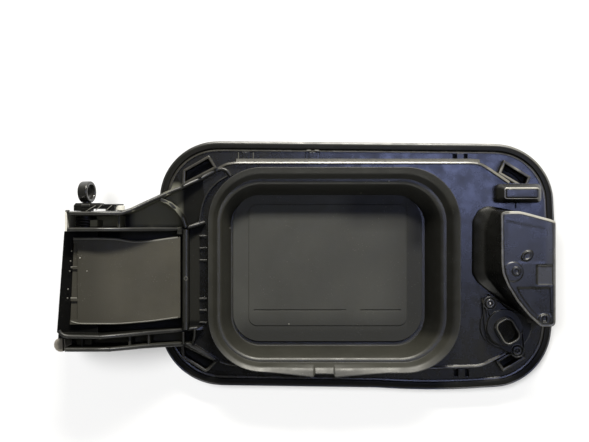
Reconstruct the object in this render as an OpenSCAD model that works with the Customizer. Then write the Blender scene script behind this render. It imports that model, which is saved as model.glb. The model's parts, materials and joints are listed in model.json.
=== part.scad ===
// Inner side of a charging port door, lying on its outer face. +Z is the inner side, +Y the door's
// upper edge, and the hinge arm reaches out towards -X.

/* [Outer skin] */
// Height of the rim above the surface that the door lies on
rim_top = 10; // [9:0.5:12]
// Width of the skin's upturned rim
rim_w = 1.8; // [1.2:0.2:2.4]
// Thickness of the skin
skin_t = 1.5; // [1.2:0.1:2]
// Radius of the skin's outward crown
crown_r = 1400; // [1000:50:2500]
// How far the middle of the crown is pressed flat
crown_flat = 0.8; // [0.4:0.1:1.2]

/* [Carrier] */
// Gap between the rim and the carrier's edge
groove_w = 3.1; // [2:0.1:3.5]
// Top of the base flange
flange_top = 8.4; // [8:0.1:9]
// Top of the deck
deck_top = 14.6; // [14:0.1:16]
// Top of the rib round the deck
rib_top = 17; // [16.5:0.1:18]
// Wall of the carrier moulding
wall = 2.2; // [1.6:0.1:2.6]

/* [Seal] */
// Height of the lip
lip_top = 27; // [24:0.5:29]
// Corner radius of the lip
lip_r = 32; // [26:1:34]
// Corner radius of the foot
foot_r = 18; // [12:1:22]

/* [Hinge arm] */
// Top of the rails at the arm's end
rail_top = 44; // [40:1:46]
// Place of the hinge axis along the arm
axis_x = -160; // [-162:0.5:-158]
// Radius of the housing's stub that enters the lower end of the barrel
stub_r = 2.5; // [2:0.1:2.8]
// Height of the hinge axis
axis_z = 27; // [26:0.5:28]
// Radius of the hinge pin
pin_r = 3; // [2.5:0.1:3.2]
// Radius of the barrel round the pin
barrel_r = 5.4; // [5:0.1:5.8]
// Underside of the arm at its end
arm_low = 18; // [16:0.5:19]

/* [Latch side] */
// Top of the latch cover
cover_top = 38; // [34:0.5:40]
// Top of the buffer block
buffer_top = 26; // [24:0.5:28]
// Distance between the centres of the two ears
ear_pitch = 32.2; // [30:0.2:34]
// Turn of the line through the ears
ear_turn = -60; // [-65:1:-55]

/* [Hidden] */
$fn = 48;
eps = 0.01;
fit_gap = 0.05;
black = [0.09, 0.09, 0.08];
dark_grey = [0.2, 0.2, 0.19];
rubber_grey = [0.26, 0.27, 0.25];

// Left, bottom, right and top of the boot's lip, and of its foot
lip_box = [-88.8, -61.4, 58.7, 57.6];
foot_box = [-76.7, -47.8, 40.3, 43.3];
// Centre of the latch receiver
receiver_at = [85.4, -36.6];

// Corner arcs of the door: centre x, centre y, radius, start and end angle
door_arcs = [
    [79, -37, 37, -80, -5],
    [-361.9, 6, 480, -4, 3.4],
    [81.6, 36.8, 35.7, 6, 90],
    [-84.5, 39.1, 35, 90, 180],
    [-81.5, -34.8, 37.8, 180, 269],
    [45, 404.9, 480, 266, 272]
];
// Deck outline, from the lower left round the right-hand side
deck_pts = [
    [-104, -44], [-100.4, -46], [-82.6, -57.8], [-78.5, -59.3], [-73.7, -60], [38.4, -61.7],
    [70.4, -60.7], [74.6, -59.5], [89.4, -51.6], [97, -46], [109.8, -33], [110.4, 28], [110.2, 38],
    [107.8, 48.2], [90.6, 48.6], [74.6, 59.5], [71.5, 60.9], [67, 61.4], [-73.1, 61.4], [-79, 60.6],
    [-84.5, 57.6], [-93.7, 51.3], [-104, 46]
];
deck_t = 2.2;
rib_w = 1.5;
lip_ridge_w = 0.9;
lip_ridge_top = 9.4;
carrier_in = rim_w + groove_w;
flange_t = 1.8;
pocket_top = 14;
pocket_wall = 1.6;

// Arm: heights along the arm, from its end towards the door
arm_end_x = -167.2;
arm_foot_x = -84;
floor_t = 2;
panel_high = 35;
panel_low = 25;
arm_steps = 12;
rail_w = 2.3;

// The pin's bore ends here, and the bore for the stub begins
bore_step_y = -34;
arm_span = 80;

// Lever and roller beside the upper rail
lever_y = 31.9;
roller_x = -140.1;
roller_r = 2.7;
roller_w = 2.8;
ring_y = 43;
ring_r = 6.4;
ring_w = 4.4;
ring_hole_r = 4.4;
ring_turn = 72;
coil_y = [23.6, 28.4];

// Points along an arc
function arc(cx, cy, r, a0, a1, n) =
    [for (i = [0:n]) let (a = a0 + (a1 - a0) * i / n) [cx + r * cos(a), cy + r * sin(a)]];
function unit(v) = v / norm(v);
function left_of(v) = [-v[1], v[0]];
// Outline moved inwards by d, for points that run anticlockwise
function inset(p, d) = [
    for (i = [0:len(p) - 1])
        let (
            before = left_of(unit(p[i] - p[(i + len(p) - 1) % len(p)])),
            after = left_of(unit(p[(i + 1) % len(p)] - p[i]))
        )
        p[i] + d * (before + after) / (1 + before * after)
];
// Smooth step from 0 at a to 1 at b
function ease(x, a, b) = let (t = max(0, min(1, (x - a) / (b - a)))) t * t * (3 - 2 * t);
function rail_z(x) = rail_top - (rail_top - rib_top) * ease(x, -152, arm_foot_x);
function floor_z(x) = arm_low - (arm_low - (deck_top - deck_t)) * ease(x, -140, -106);
function panel_z(x) = panel_high - (panel_high - panel_low) * ease(x, -165, -104);

// Door outline moved inwards by d
function door_outline(d) = [
    for (k = door_arcs) each arc(k[0], k[1], k[2] - d, k[3], k[4], k[2] > 100 ? 4 : 12)
];

// A wall of width w along a chain of points, with mitred joints and square ends
function mitre(p, i) =
    let (
        last = len(p) - 1,
        before = left_of(unit(p[max(i, 1)] - p[max(i, 1) - 1])),
        after = left_of(unit(p[min(i + 1, last)] - p[min(i, last - 1)]))
    )
    (before + after) / (1 + before * after);
module wall_chain(p, w) {
    last = len(p) - 1;
    polygon(concat(
        [for (i = [0:last]) p[i] - mitre(p, i) * w / 2],
        [for (i = [last:-1:0]) p[i] + mitre(p, i) * w / 2]
    ));
}

// The space between two heights that change along the arm, over a stretch of x
function side_profile(x0, x1, low, high, n) = concat(
    [for (i = [0:n]) let (x = x0 + (x1 - x0) * i / n) [x, low == "floor" ? floor_z(x) : low]],
    [for (i = [n:-1:0]) let (x = x0 + (x1 - x0) * i / n)
        [x, high == "rail" ? rail_z(x) : high == "panel" ? panel_z(x)
            : high == "web" ? web_z(x) : floor_z(x) + floor_t]]
);
module along_y(y0, y1) {
    translate([0, y1, 0]) rotate([90, 0, 0]) linear_extrude(y1 - y0) children();
}
module cylinder_y(r, y0, y1) {
    translate([0, y0, 0]) rotate([-90, 0, 0]) cylinder(r = r, h = y1 - y0);
}

// Everything above the door's crowned face, raised by up: flat in the middle, then a ball's curve
crown_edge = 150;
crown_steps = 8;
flat_r = sqrt(crown_r * crown_r - (crown_r - crown_flat) * (crown_r - crown_flat));
function crown_z(r) = crown_r - crown_flat - sqrt(crown_r * crown_r - r * r);
module crown(up) {
    curve = [for (i = [0:crown_steps]) let (r = flat_r + (crown_edge - flat_r) * i / crown_steps)
        [r, max(0, crown_z(r))]];
    translate([0, 0, up]) rotate_extrude($fn = 96)
        polygon(concat([[0, 0]], curve, [[crown_edge, 40], [0, 40]]));
}

module outer_skin() {
    color(black) difference() {
        intersection() {
            linear_extrude(rim_top) polygon(door_outline(0));
            crown(0);
        }
        intersection() {
            translate([0, 0, skin_t]) linear_extrude(rim_top) polygon(door_outline(rim_w));
            crown(skin_t);
        }
    }
}

// Corner pockets: open boxes that stiffen the carrier's corners
pocket_ul = [[-105.4, 46.8], [-84.6, 57.6], [-89.4, 65.4], [-104.9, 56.5]];
pocket_ur = [[83, 54.2], [99.5, 44.6], [102.6, 52.4], [86.5, 62.5]];
pocket_ll = [[-106, -46], [-105.4, -55], [-91.7, -63.9], [-89.4, -62.9], [-84, -57]];
pocket_lr = [[81.7, -57.3], [85.9, -63.9], [99.6, -55.6], [94.5, -49.6]];

module pocket(p) {
    translate([0, 0, flange_top - eps]) linear_extrude(pocket_top - flange_top) difference() {
        polygon(p);
        polygon(inset(p, pocket_wall));
    }
}

// Hole in the deck that the boot hangs in
well_share = 0.52;
well_box = [for (i = [0:3]) lip_box[i] + (foot_box[i] - lip_box[i]) * well_share];
well_r = lip_r + (foot_r - lip_r) * well_share;
function rounded_box(x0, y0, x1, y1, r, n) = concat(
    arc(x1 - r, y0 + r, r, -90, 0, n),
    arc(x1 - r, y1 - r, r, 0, 90, n),
    arc(x0 + r, y1 - r, r, 90, 180, n),
    arc(x0 + r, y0 + r, r, 180, 270, n)
);
function well_outline() = rounded_box(well_box[0], well_box[1], well_box[2], well_box[3], well_r, 10);

clip_spots = [[61.2, 64.2], [-27.6, 65], [-67.5, 65.2], [62, -65.2]];
clip_window = [9, 4.4];
clip_tongue = [4.2, 5];

module carrier_plate() {
    translate([0, 0, flange_top - flange_t]) linear_extrude(flange_t) difference() {
        polygon(door_outline(carrier_in));
        polygon(well_outline());
        for (c = clip_spots) translate(c) square(clip_window, center = true);
        for (p = [pocket_ul, pocket_ur, pocket_ll, pocket_lr]) polygon(inset(p, pocket_wall));
    }
    translate([0, 0, flange_top - eps]) linear_extrude(lip_ridge_top - flange_top) difference() {
        polygon(door_outline(carrier_in));
        polygon(door_outline(carrier_in + lip_ridge_w));
    }
    foot_ring();
}

// The carrier stands on the skin with a ring that follows the crown
foot_in = 12.5;
foot_z0 = 1;
module foot_ring() {
    intersection() {
        translate([0, 0, foot_z0]) linear_extrude(flange_top - flange_t - foot_z0 + eps) difference() {
            polygon(door_outline(foot_in));
            polygon(door_outline(foot_in + wall));
        }
        crown(skin_t + fit_gap);
    }
}

module deck() {
    translate([0, 0, deck_top - deck_t]) linear_extrude(deck_t) difference() {
        polygon(deck_pts);
        polygon(well_outline());
    }
    translate([0, 0, flange_top - eps]) linear_extrude(deck_top - flange_top - deck_t + 2 * eps)
        difference() {
            polygon(deck_pts);
            polygon(inset(deck_pts, wall));
        }
    translate([0, 0, flange_top - eps]) linear_extrude(deck_top - flange_top - deck_t + 2 * eps)
        difference() {
            polygon(inset(well_outline(), -wall));
            polygon(well_outline());
        }
}

// Thin rib along the visible edges of the deck: its upper run stops short of the buffer block,
// its lower run short of the latch receiver's lower ear
rib_start = [89.1, 48.9];
rib_end = [86.6, -52.3];
module deck_rib() {
    top_run = concat([rib_start], [for (i = [15:20]) deck_pts[i] + [0, -rib_w / 2]]);
    low_run = concat([for (i = [2:7]) deck_pts[i] + [0, rib_w / 2]], [rib_end]);
    translate([0, 0, deck_top - eps]) linear_extrude(rib_top - deck_top) {
        wall_chain(top_run, rib_w);
        wall_chain(low_run, rib_w);
    }
}

// Rails of the arm, seen from above
upper_rail = [
    [arm_end_x, 30.4], [-137.5, 30.4], [-131.5, 32.6], [-124.4, 36.4], [-112.9, 42.2],
    [-104.2, 46.2], [-93.7, 51.4], [-84.5, 56.6], [-81, 57.2], [-78, 55.6], [-76.4, 52.8]
];
inner_upper_rail = [[arm_end_x, 21.3], [-106, 21.3], [-100.4, 22.6], [-91.5, 25.4]];
inner_lower_rail = [[-172.4, -39.4], [-148.9, -39.8], [-126, -38.6], [-103.5, -38], [-92.4, -37]];
outer_lower_rail = [
    [-168.5, -46.9], [-143, -46.9], [-126, -46.2], [-108, -46.3], [-100.4, -46.6], [-84, -57]
];
gusset = [[-116.1, 38.6], [-111.6, 36.6], [-107.4, 33], [-104, 28.4], [-102, 22.4]];
thin_rib = [[-78.2, 52.6], [-83.5, 49.6], [-88.3, 45], [-91.6, 39.6], [-93.6, 33], [-94.7, 25]];
channel_ribs = [-160.8, -133.6, -123.3, -104];
gap_ribs = [17.2, 10, 2.8, -20, -27, -34.2];

module rails_plan() {
    wall_chain(upper_rail, rail_w);
    wall_chain(inner_upper_rail, rail_w);
    wall_chain(inner_lower_rail, rail_w);
    wall_chain(outer_lower_rail, rail_w);
}

module arm_rails() {
    intersection() {
        linear_extrude(60) rails_plan();
        along_y(-arm_span, arm_span) polygon(side_profile(-176, -74, "floor", "rail", arm_steps));
    }
}

// Floor of the arm, open under the panel
arm_floor = [
    [-176.4, -37.5], [-176.2, -44.4], [-174, -47.6], [-170, -48.6], [-106, -47.4], [-98, -47.4],
    [-98, 49.5], [-104.2, 46.2], [-124.4, 36.4], [-136, 31.4], [-167.4, 31.4], [-171.8, 21.3]
];
panel_plan = [
    [-167.6, -33.4], [-140, -33.9], [-121.6, -32.7], [-105.2, -30.4], [-105.2, 16.9],
    [-121.6, 14.8], [-133.2, 14.2], [-140, 16.1], [-165.4, 16.4]
];

module arm_floor_plate() {
    intersection() {
        linear_extrude(60) difference() {
            polygon(arm_floor);
            polygon(inset(panel_plan, wall));
        }
        along_y(-arm_span, arm_span) polygon(side_profile(-176, -97, "floor", "floor_top", arm_steps));
    }
}

module arm_panel() {
    difference() {
        intersection() {
            linear_extrude(60) polygon(panel_plan);
            along_y(-arm_span, arm_span) polygon(side_profile(-176, -97, "floor", "panel", arm_steps));
        }
        intersection() {
            linear_extrude(60) polygon(inset(panel_plan, wall));
            translate([0, 0, -wall]) along_y(-arm_span, arm_span)
                polygon(side_profile(-176, -97, "floor", "panel", arm_steps));
        }
        step_cuts();
    }
    barrel();
}

// The narrow ledge at the panel's outer edge, divided by two ribs
ledge_x0 = -170;
ledge_reach = 6.8;
ledge_drop = 4;
ledge_cells = [[-31, -20], [-18.6, -1.6], [-0.2, 13.6]];
module step_cuts() {
    for (c = ledge_cells)
        translate([ledge_x0, c[0], panel_high - wall / 2])
            cube([ledge_reach, c[1] - c[0], ledge_drop]);
}

// The barrel, and the thinner boss that carries the stub across the lower channel. Beside the
// panel both have flat-topped housings, level with the shelf at the arm's end.
boss_wall = 1.7;
barrel_y = [-38.6, 20.6];
boss_y = [-46.8, -38];
housing_runs = [[-38.6, -32.6], [15, 20.1]];
housing_half = 8;
housing_sink = 4;
shelf_top = axis_z + barrel_r;
shelf_pts = [[-175.6, -38.4], [-166.6, -38.4], [-166.6, 20.1], [-171.4, 20.1]];
module barrel() {
    boss_r = stub_r + boss_wall;
    translate([axis_x, 0, axis_z]) {
        cylinder_y(barrel_r, barrel_y[0], barrel_y[1]);
        cylinder_y(boss_r, boss_y[0], boss_y[1]);
        for (run = housing_runs) translate([-housing_half, run[0], -housing_sink])
            cube([2 * housing_half, run[1] - run[0], barrel_r + housing_sink]);
        translate([-boss_r, boss_y[0], -housing_sink])
            cube([2 * boss_r, boss_y[1] - boss_y[0], boss_r + housing_sink]);
    }
    translate([0, 0, arm_low]) linear_extrude(shelf_top - arm_low) polygon(shelf_pts);
}

function web_z(x) = 37 - 12 * ease(x, -140, -98);
module channel_walls() {
    intersection() {
        linear_extrude(60) {
            for (x = channel_ribs) translate([x, -46]) square([1.1, 7]);
            translate([-139.6, 22]) square([1.1, 8]);
            wall_chain(gusset, 1.8);
            translate([-103.6, -37.6]) square([3, 58.6]);
            wall_chain([[-98.2, -45.8], [-97, -42], [-96.8, -38]], 1.1);
            translate([-155.6, 22]) square([4.2, 4.6]);
            translate([-106.8, 18.4]) square([2.6, 2.4]);
        }
        along_y(-arm_span, arm_span) polygon(side_profile(-176, -96, "floor", "web", arm_steps));
    }
    translate([0, 0, deck_top - eps]) linear_extrude(4) wall_chain(thin_rib, 0.9);
    for (y = gap_ribs) translate([-94.8, y - 0.5, deck_top - eps]) cube([4.4, 1, 1.6]);
}

// Bore for the pin, a narrower one for the housing's stub, and room for the spring
module pin_bores() {
    translate([axis_x, 0, axis_z]) {
        cylinder_y(pin_r + fit_gap, bore_step_y, 40);
        cylinder_y(stub_r + fit_gap, -60, bore_step_y + eps);
        cylinder_y(6.6, 22.5, 29.2);
    }
}

screw_r = 1.5;
ear_dir = [cos(ear_turn), sin(ear_turn)];
ear_upper = receiver_at - ear_dir * ear_pitch / 2;
ear_lower = receiver_at + ear_dir * ear_pitch / 2;

module carrier_frame() {
    color(black) difference() {
        union() {
            carrier_plate();
            deck();
            deck_rib();
            pocket(pocket_ul);
            pocket(pocket_ur);
            pocket(pocket_ll);
            pocket(pocket_lr);
            arm_rails();
            arm_floor_plate();
            arm_panel();
            channel_walls();
            for (e = [ear_upper, ear_lower]) translate([e[0], e[1], flange_top - eps])
                cylinder(r = 3.6, h = deck_top - flange_top);
        }
        pin_bores();
        for (e = [ear_upper, ear_lower]) translate([e[0], e[1], flange_top - 1])
            cylinder(r = screw_r + fit_gap, h = 20);
    }
}

// The boot: rings between the lip outline and the foot outline, with a height for each ring.
// Each entry is the share of the way from lip to foot, and the height.
seal_inside = [
    [0, lip_top - 0.5], [0.03, lip_top], [0.2, lip_top - 0.8], [0.26, lip_top - 1.9],
    [0.42, 21.4], [0.56, 20.9], [0.64, 19.8], [0.94, 7.9], [1, 7], [1.06, 5.6]
];
seal_outside = [
    [1.06, 4.6], [0.9, 4.6], [0.82, 7.6], [0.66, deck_top + fit_gap], [0.3, deck_top + fit_gap],
    [0.3, 16.2], [0.44, 17.2], [0.38, 18.6], [0.17, lip_top - 2.8], [0.04, lip_top - 2],
    [0, lip_top - 1.2]
];
notch_x = -21;
notch_half = 5.6;
sag_depth = 3.2;
sag_half = 35;
sag_end = 0.3;
notch_cut = 0.6;
notch_side = 0.8;
seal_corner_steps = 8;

// Lower edge of the lip: it sags towards the drain notch, and the notch cuts it back
function sag(x, t) =
    let (d = abs(x - notch_x), share = max(0, 1 - t / sag_end))
    -share * (d < notch_half + eps ? notch_cut : sag_depth * max(0, 1 - d / sag_half));

function seal_ring(t, z) =
    let (
        box = [for (i = [0:3]) lip_box[i] + (foot_box[i] - lip_box[i]) * t],
        r = lip_r + (foot_r - lip_r) * t,
        side = notch_half + notch_side,
        low_run = [for (k = [-sag_half, -sag_half / 2, -side, -notch_half]) notch_x + k]
    )
    [
        for (x = low_run) [x, box[1] + sag(x, t), z],
        for (x = [for (i = [3:-1:0]) 2 * notch_x - low_run[i]]) [x, box[1] + sag(x, t), z],
        for (q = arc(box[2] - r, box[1] + r, r, -90, 0, seal_corner_steps)) [q[0], q[1], z],
        for (q = arc(box[2] - r, box[3] - r, r, 0, 90, seal_corner_steps)) [q[0], q[1], z],
        for (q = arc(box[0] + r, box[3] - r, r, 90, 180, seal_corner_steps)) [q[0], q[1], z],
        for (q = arc(box[0] + r, box[1] + r, r, 180, 270, seal_corner_steps)) [q[0], q[1], z]
    ];

module charge_seal() {
    profile = concat(seal_inside, seal_outside);
    rings = [for (p = profile) seal_ring(p[0], p[1])];
    n = len(rings[0]);
    m = len(rings);
    color(rubber_grey) polyhedron(
        points = [for (r = rings) each r],
        faces = [for (i = [0:m - 1]) for (j = [0:n - 1])
            let (a = i * n + j, b = i * n + (j + 1) % n, c = ((i + 1) % m) * n + j,
                d = ((i + 1) % m) * n + (j + 1) % n)
            each [[a, c, b], [b, c, d]]],
        convexity = 8
    );
}

floor_top = 6.2;
floor_low = 4.6;
pad_rise = 0.35;
floor_in = [1.2, 1.2, -1.8, -1.2];
function floor_outline(d) = rounded_box(foot_box[0] + floor_in[0] + d, foot_box[1] + floor_in[1] + d,
    foot_box[2] + floor_in[2] - d, foot_box[3] + floor_in[3] - d, 16.5 - d, 8);
floor_rib_xs = [-50, -18, 14];
floor_rib_t = 1.6;
floor_skirt_in = 1;
pad_box = [-66, -37, 29.4, 36];
pad_grooves = [[-62.9, -28, 55.6], [1.2, -28, 24.7]];
pad_groove = [0.6, 0.2];
module floor_plate() {
    color(dark_grey) {
        difference() {
            union() {
                translate([0, 0, floor_low]) linear_extrude(floor_top - floor_low)
                    polygon(floor_outline(0));
                translate([0, 0, floor_top - eps]) linear_extrude(pad_rise)
                    polygon(rounded_box(pad_box[0], pad_box[1], pad_box[2], pad_box[3], 5, 6));
            }
            for (g = pad_grooves) translate([g[0], g[1], floor_top - pad_groove[1]])
                cube([g[2], pad_groove[0], 2]);
        }
        intersection() {
            linear_extrude(floor_low + eps) {
                difference() {
                    polygon(floor_outline(floor_skirt_in));
                    polygon(floor_outline(floor_skirt_in + floor_rib_t));
                }
                for (x = floor_rib_xs) translate([x, -45]) square([floor_rib_t, 85]);
            }
            crown(skin_t + fit_gap);
        }
    }
}

cover_plate_pts = concat(
    [[102.6, -34.5], [109.5, -34.5], [111.2, -32.8], [111.2, 26], [108.9, 27]],
    [[96.3, 30.4], [90.6, 31.8], [81.4, 31.8], [79.7, 30.4]],
    [[79.9, 2], [80.6, -4.2], [83.4, -11], [89, -20.2], [95.8, -28.4]]
);
cover_foot_pts = [
    [102.5, -32.6], [109.6, -33.4], [109.6, 27.4], [96.5, 31.4], [80.5, 34.6], [75.8, 35],
    [71, 32.8], [67.4, 26.5], [67.2, -5], [70, -10], [76, -15], [84, -21.8], [95, -28.4]
];
// The cover rises in two slopes: a low skirt from its foot to its waist, and a steep wall above
cover_waist_pts = [
    [102.5, -33.2], [109.7, -33.8], [110.1, 27.2], [96.4, 30.9], [82.4, 33], [79.4, 33.4],
    [76.6, 31.8], [74.3, 27.5], [74.3, -3.2], [76.4, -8.2], [80.4, -13.8], [86.6, -21.6],
    [95.4, -28.7]
];
skirt_h = 1.6;
waist_h = 3.9;
module slope(low_pts, low, high_pts, high) {
    hull() {
        translate([0, 0, low]) linear_extrude(eps) polygon(low_pts);
        translate([0, 0, high - eps]) linear_extrude(eps) polygon(high_pts);
    }
}
module cover_shape(d, low, high) {
    waist = deck_top + waist_h - d;
    foot_pts = inset(cover_foot_pts, d);
    translate([0, 0, low]) linear_extrude(deck_top + skirt_h - d - low + eps) polygon(foot_pts);
    slope(foot_pts, deck_top + skirt_h - d, inset(cover_waist_pts, d), waist);
    slope(inset(cover_waist_pts, d), waist - eps, inset(cover_plate_pts, d), high);
}
cover_t = 1.5;
// Shallow steps in the cover's top: corner, size and depth of each
cover_steps = [
    [[101, -8.8], [12, 8.6], 0.7], [[100.4, -29], [12, 15.6], 0.7], [[101.6, -32.6], [7.2, 1.6], 1.2]
];
oval_boss = [3.8, 2.7];
oval_boss_turn = 35;
boss_sink = 1;
boss_h = 1.8;
// Round bosses: place and radius
round_bosses = [[88.6, -2.6, 2.8], [104.8, -29.6, 3.4]];
module latch_cover() {
    color(dark_grey) {
        difference() {
            cover_shape(0, deck_top, cover_top);
            cover_shape(cover_t, deck_top - 2, cover_top - cover_t);
            for (k = cover_steps) translate([k[0][0], k[0][1], cover_top - k[2]])
                cube([k[1][0], k[1][1], 3]);
        }
        translate([94.8, 6.2, cover_top - boss_sink]) rotate(oval_boss_turn) linear_extrude(boss_h)
            polygon([for (a = [0:15:345]) [oval_boss[0] * cos(a), oval_boss[1] * sin(a)]]);
        for (b = round_bosses) translate([b[0], b[1], cover_top - boss_sink])
            cylinder(r = b[2], h = boss_h);
    }
}

buffer_box = [80.4, 36.9, 107, 47.9];
buffer_foot_h = 7;
module buffer_block() {
    color(dark_grey) {
        hull() {
            translate([0, 0, deck_top]) linear_extrude(buffer_foot_h) polygon(
                rounded_box(buffer_box[0], buffer_box[1], buffer_box[2], buffer_box[3], 2.6, 4));
            translate([0, 0, buffer_top - 0.5]) linear_extrude(0.5)
                polygon(rounded_box(85.4, 39.8, 104, 44.9, 0.6, 2));
        }
        translate([91, 35.2, deck_top]) cube([1.2, 2.4, 3]);
    }
}

base_t = 1.6;
plate_t = 2.2;
body_h = 5;
oval_h = 7.4;
socket_wall = 1.7;
base_centre = [86, -36];
base_r = 14.1;
lobe_r = 16.4;
screw_hole_r = 1.8;
cover_gap = 0.3;
socket_at = [86.9, -38.6];
// Half length, half width and corner radius of the socket
socket = [6.5, 4.6, 3.2];

// The socket's outline grown by g: a rounded box, turned along the ears
module oval(g) {
    half_l = socket[0] + g;
    half_w = socket[1] + g;
    translate(socket_at) rotate(ear_turn)
        polygon(rounded_box(-half_l, -half_w, half_l, half_w, socket[2] + g, 6));
}

module receiver_base() {
    color(black) difference() {
        translate([0, 0, deck_top]) linear_extrude(base_t) {
            translate(base_centre) circle(r = base_r);
            translate(base_centre) polygon(concat([[0, 0]], arc(0, 0, lobe_r, -46, 4, 8)));
            translate(ear_upper) circle(r = 3.8);
            translate(ear_lower) circle(r = 3.8);
        }
        for (e = [ear_upper, ear_lower]) translate([e[0], e[1], 0]) cylinder(r = screw_hole_r, h = 40);
        translate([0, 0, deck_top - 1]) linear_extrude(8) polygon(inset(cover_foot_pts, -cover_gap));
        translate([0, 0, deck_top - 1]) linear_extrude(8) oval(0);
    }
}

// Where a straight line touches the ear circle and the body circle on one side
function tangent_pts(c0, r0, c1, r1, side) =
    let (
        d = c1 - c0,
        turn = acos((r0 - r1) / norm(d)) * side,
        a = atan2(d[1], d[0]) + turn,
        n = [cos(a), sin(a)]
    )
    [c0 + n * r0, c1 + n * r1];

ear_r = 4.3;
body_r = 11;
module receiver_plan() {
    translate(receiver_at) circle(r = body_r);
    for (e = [ear_upper, ear_lower]) {
        translate(e) circle(r = ear_r);
        a = tangent_pts(e, ear_r, receiver_at, body_r, 1);
        b = tangent_pts(e, ear_r, receiver_at, body_r, -1);
        polygon([e, a[0], a[1], receiver_at, b[1], b[0]]);
    }
}

collar_t = 0.9;
collar_low = deck_top + base_t + 2;
collar_h = 6;
screw_seat = deck_top + base_t + plate_t - 0.8;
seat_r = 3.1;
// Cut in the receiver's outer side
notch_at = [76.6, -44.4];
notch_size = [12, 4];
module latch_receiver() {
    color(dark_grey) difference() {
        union() {
            translate([0, 0, deck_top + base_t]) linear_extrude(plate_t) receiver_plan();
            translate([receiver_at[0], receiver_at[1], deck_top + base_t]) cylinder(r = 10.4, h = body_h);
            translate([0, 0, deck_top + base_t]) linear_extrude(oval_h) oval(socket_wall);
        }
        for (e = [ear_upper, ear_lower]) {
            translate([e[0], e[1], 0]) cylinder(r = screw_hole_r, h = 60);
            translate([e[0], e[1], screw_seat]) cylinder(r = seat_r, h = 6);
        }
        translate([0, 0, deck_top]) linear_extrude(40) oval(0);
        translate([0, 0, collar_low]) linear_extrude(40) oval(collar_t);
        translate([notch_at[0], notch_at[1], deck_top + base_t + plate_t]) rotate(ear_turn)
            translate([-notch_size[0] * 2 / 3, -notch_size[1] * 2 / 3, 0])
                cube([notch_size[0], notch_size[1], 10]);
    }
}

module receiver_collar() {
    color(dark_grey) translate([0, 0, collar_low]) linear_extrude(collar_h) difference() {
        oval(collar_t);
        oval(0);
    }
}

module ear_screw(e, head_h, drive_d) {
    translate([e[0], e[1], 0]) difference() {
        union() {
            translate([0, 0, flange_top + 0.4]) cylinder(r = screw_r, h = screw_seat - flange_top);
            translate([0, 0, screw_seat]) cylinder(r = 2.9, h = head_h);
        }
        translate([0, 0, screw_seat + head_h - drive_d]) cylinder(r = 1.5, h = 4, $fn = 6);
    }
}
module receiver_screw_upper() {
    color("silver") ear_screw(ear_upper, 2, 1.2);
}
module receiver_screw_lower() {
    color(black) ear_screw(ear_lower, 1.4, 1);
}

// The hinge pin ends inside the barrel: the last of the bore is left for the housing's own stub
pin_low = -33;
module hinge_pin() {
    color("dimgray") translate([axis_x, 0, axis_z]) cylinder_y(pin_r, pin_low, lever_y + 1.2);
}

// The hub's two ends, and how far its top is drawn in at each
block_low = -6;
block_high = 11.6;
block_h = 4.6;
block_foot_h = 3.2;
block_draft = [0.9, 2];
module hinge_block() {
    color(black) difference() {
        translate([axis_x, lever_y, axis_z]) rotate([-90, 0, 0]) hull() {
            linear_extrude(block_foot_h) polygon(rounded_box(block_low, -7, block_high, 7, 2, 4));
            linear_extrude(block_h) polygon(
                rounded_box(block_low + block_draft[0], -6, block_high - block_draft[1], 6, 2, 4));
        }
        translate([axis_x, 0, axis_z]) cylinder_y(pin_r + fit_gap, 20, lever_y + 1.25);
        lever_gap();
    }
}

// The hub and lever stand off from the rail along this stretch
gap_x0 = -156.7;
gap_x1 = -147.6;
gap_w = 1.25;
module lever_gap() {
    translate([gap_x0, lever_y - 1, axis_z - 20]) cube([gap_x1 - gap_x0, 1 + gap_w, 40]);
}

// Lever from the hub to the roller: a block with a slanting groove, then a thin tongue that
// reaches over the roller's outer side
lever_x0 = axis_x + block_high;
lever_x1 = roller_x - roller_r - 0.3;
lever_top = lever_y + 4;
tongue_t = 0.7;
axle_r = 1.2;
axle_head = [1.8, 0.3];
groove_box = [1, 8, 4];
groove_turn = -40;
module lever_arm() {
    color(black) difference() {
        union() {
            along_y(lever_y, lever_top) polygon([
                [lever_x0, axis_z - 5.5], [lever_x1, axis_z - 4], [lever_x1, axis_z + 4],
                [lever_x0, axis_z + 5.5]
            ]);
            along_y(lever_top - tongue_t, lever_top) polygon([
                [lever_x1 - eps, axis_z - 3.4], [roller_x + 1.2, axis_z - 2.2],
                [roller_x + 2.2, axis_z], [roller_x + 1.2, axis_z + 2.2], [lever_x1 - eps, axis_z + 3.4]
            ]);
        }
        translate([roller_x, 0, axis_z]) cylinder_y(axle_r, 20, 40);
        lever_gap();
        translate([lever_x0 + 1.8, lever_y + 0.6, axis_z + 3.2]) rotate(groove_turn) cube(groove_box);
    }
}

// The axle hangs in the tongue and holds the roller with a flat head beside the rail
module roller_axle() {
    color("silver") translate([roller_x, 0, axis_z]) {
        cylinder_y(axle_r, lever_y, lever_top);
        cylinder_y(axle_head[0], lever_y, lever_y + axle_head[1]);
    }
}

module stop_roller() {
    roller_top = lever_top - tongue_t - 0.1;
    color("white") translate([roller_x, 0, axis_z]) difference() {
        cylinder_y(roller_r, roller_top - roller_w, roller_top);
        cylinder_y(axle_r + fit_gap, 20, 60);
    }
}

// Eye: a ring that stands on the hub with a short neck, its hole turned towards the door
ring_base_y = lever_y + block_h;
ring_shift = 0.6;
ring_neck_r = 2.6;
ring_neck_sink = 1.4;
module pull_ring() {
    color(dark_grey) translate([axis_x + ring_shift, ring_y, axis_z]) difference() {
        union() {
            rotate([0, ring_turn, 0]) translate([0, 0, -ring_w / 2]) cylinder(r = ring_r, h = ring_w);
            cylinder_y(ring_neck_r, ring_base_y - ring_y, ring_neck_sink - ring_r);
        }
        rotate([0, ring_turn, 0]) translate([0, 0, -ring_r]) cylinder(r = ring_hole_r, h = 2 * ring_r);
    }
}

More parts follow.
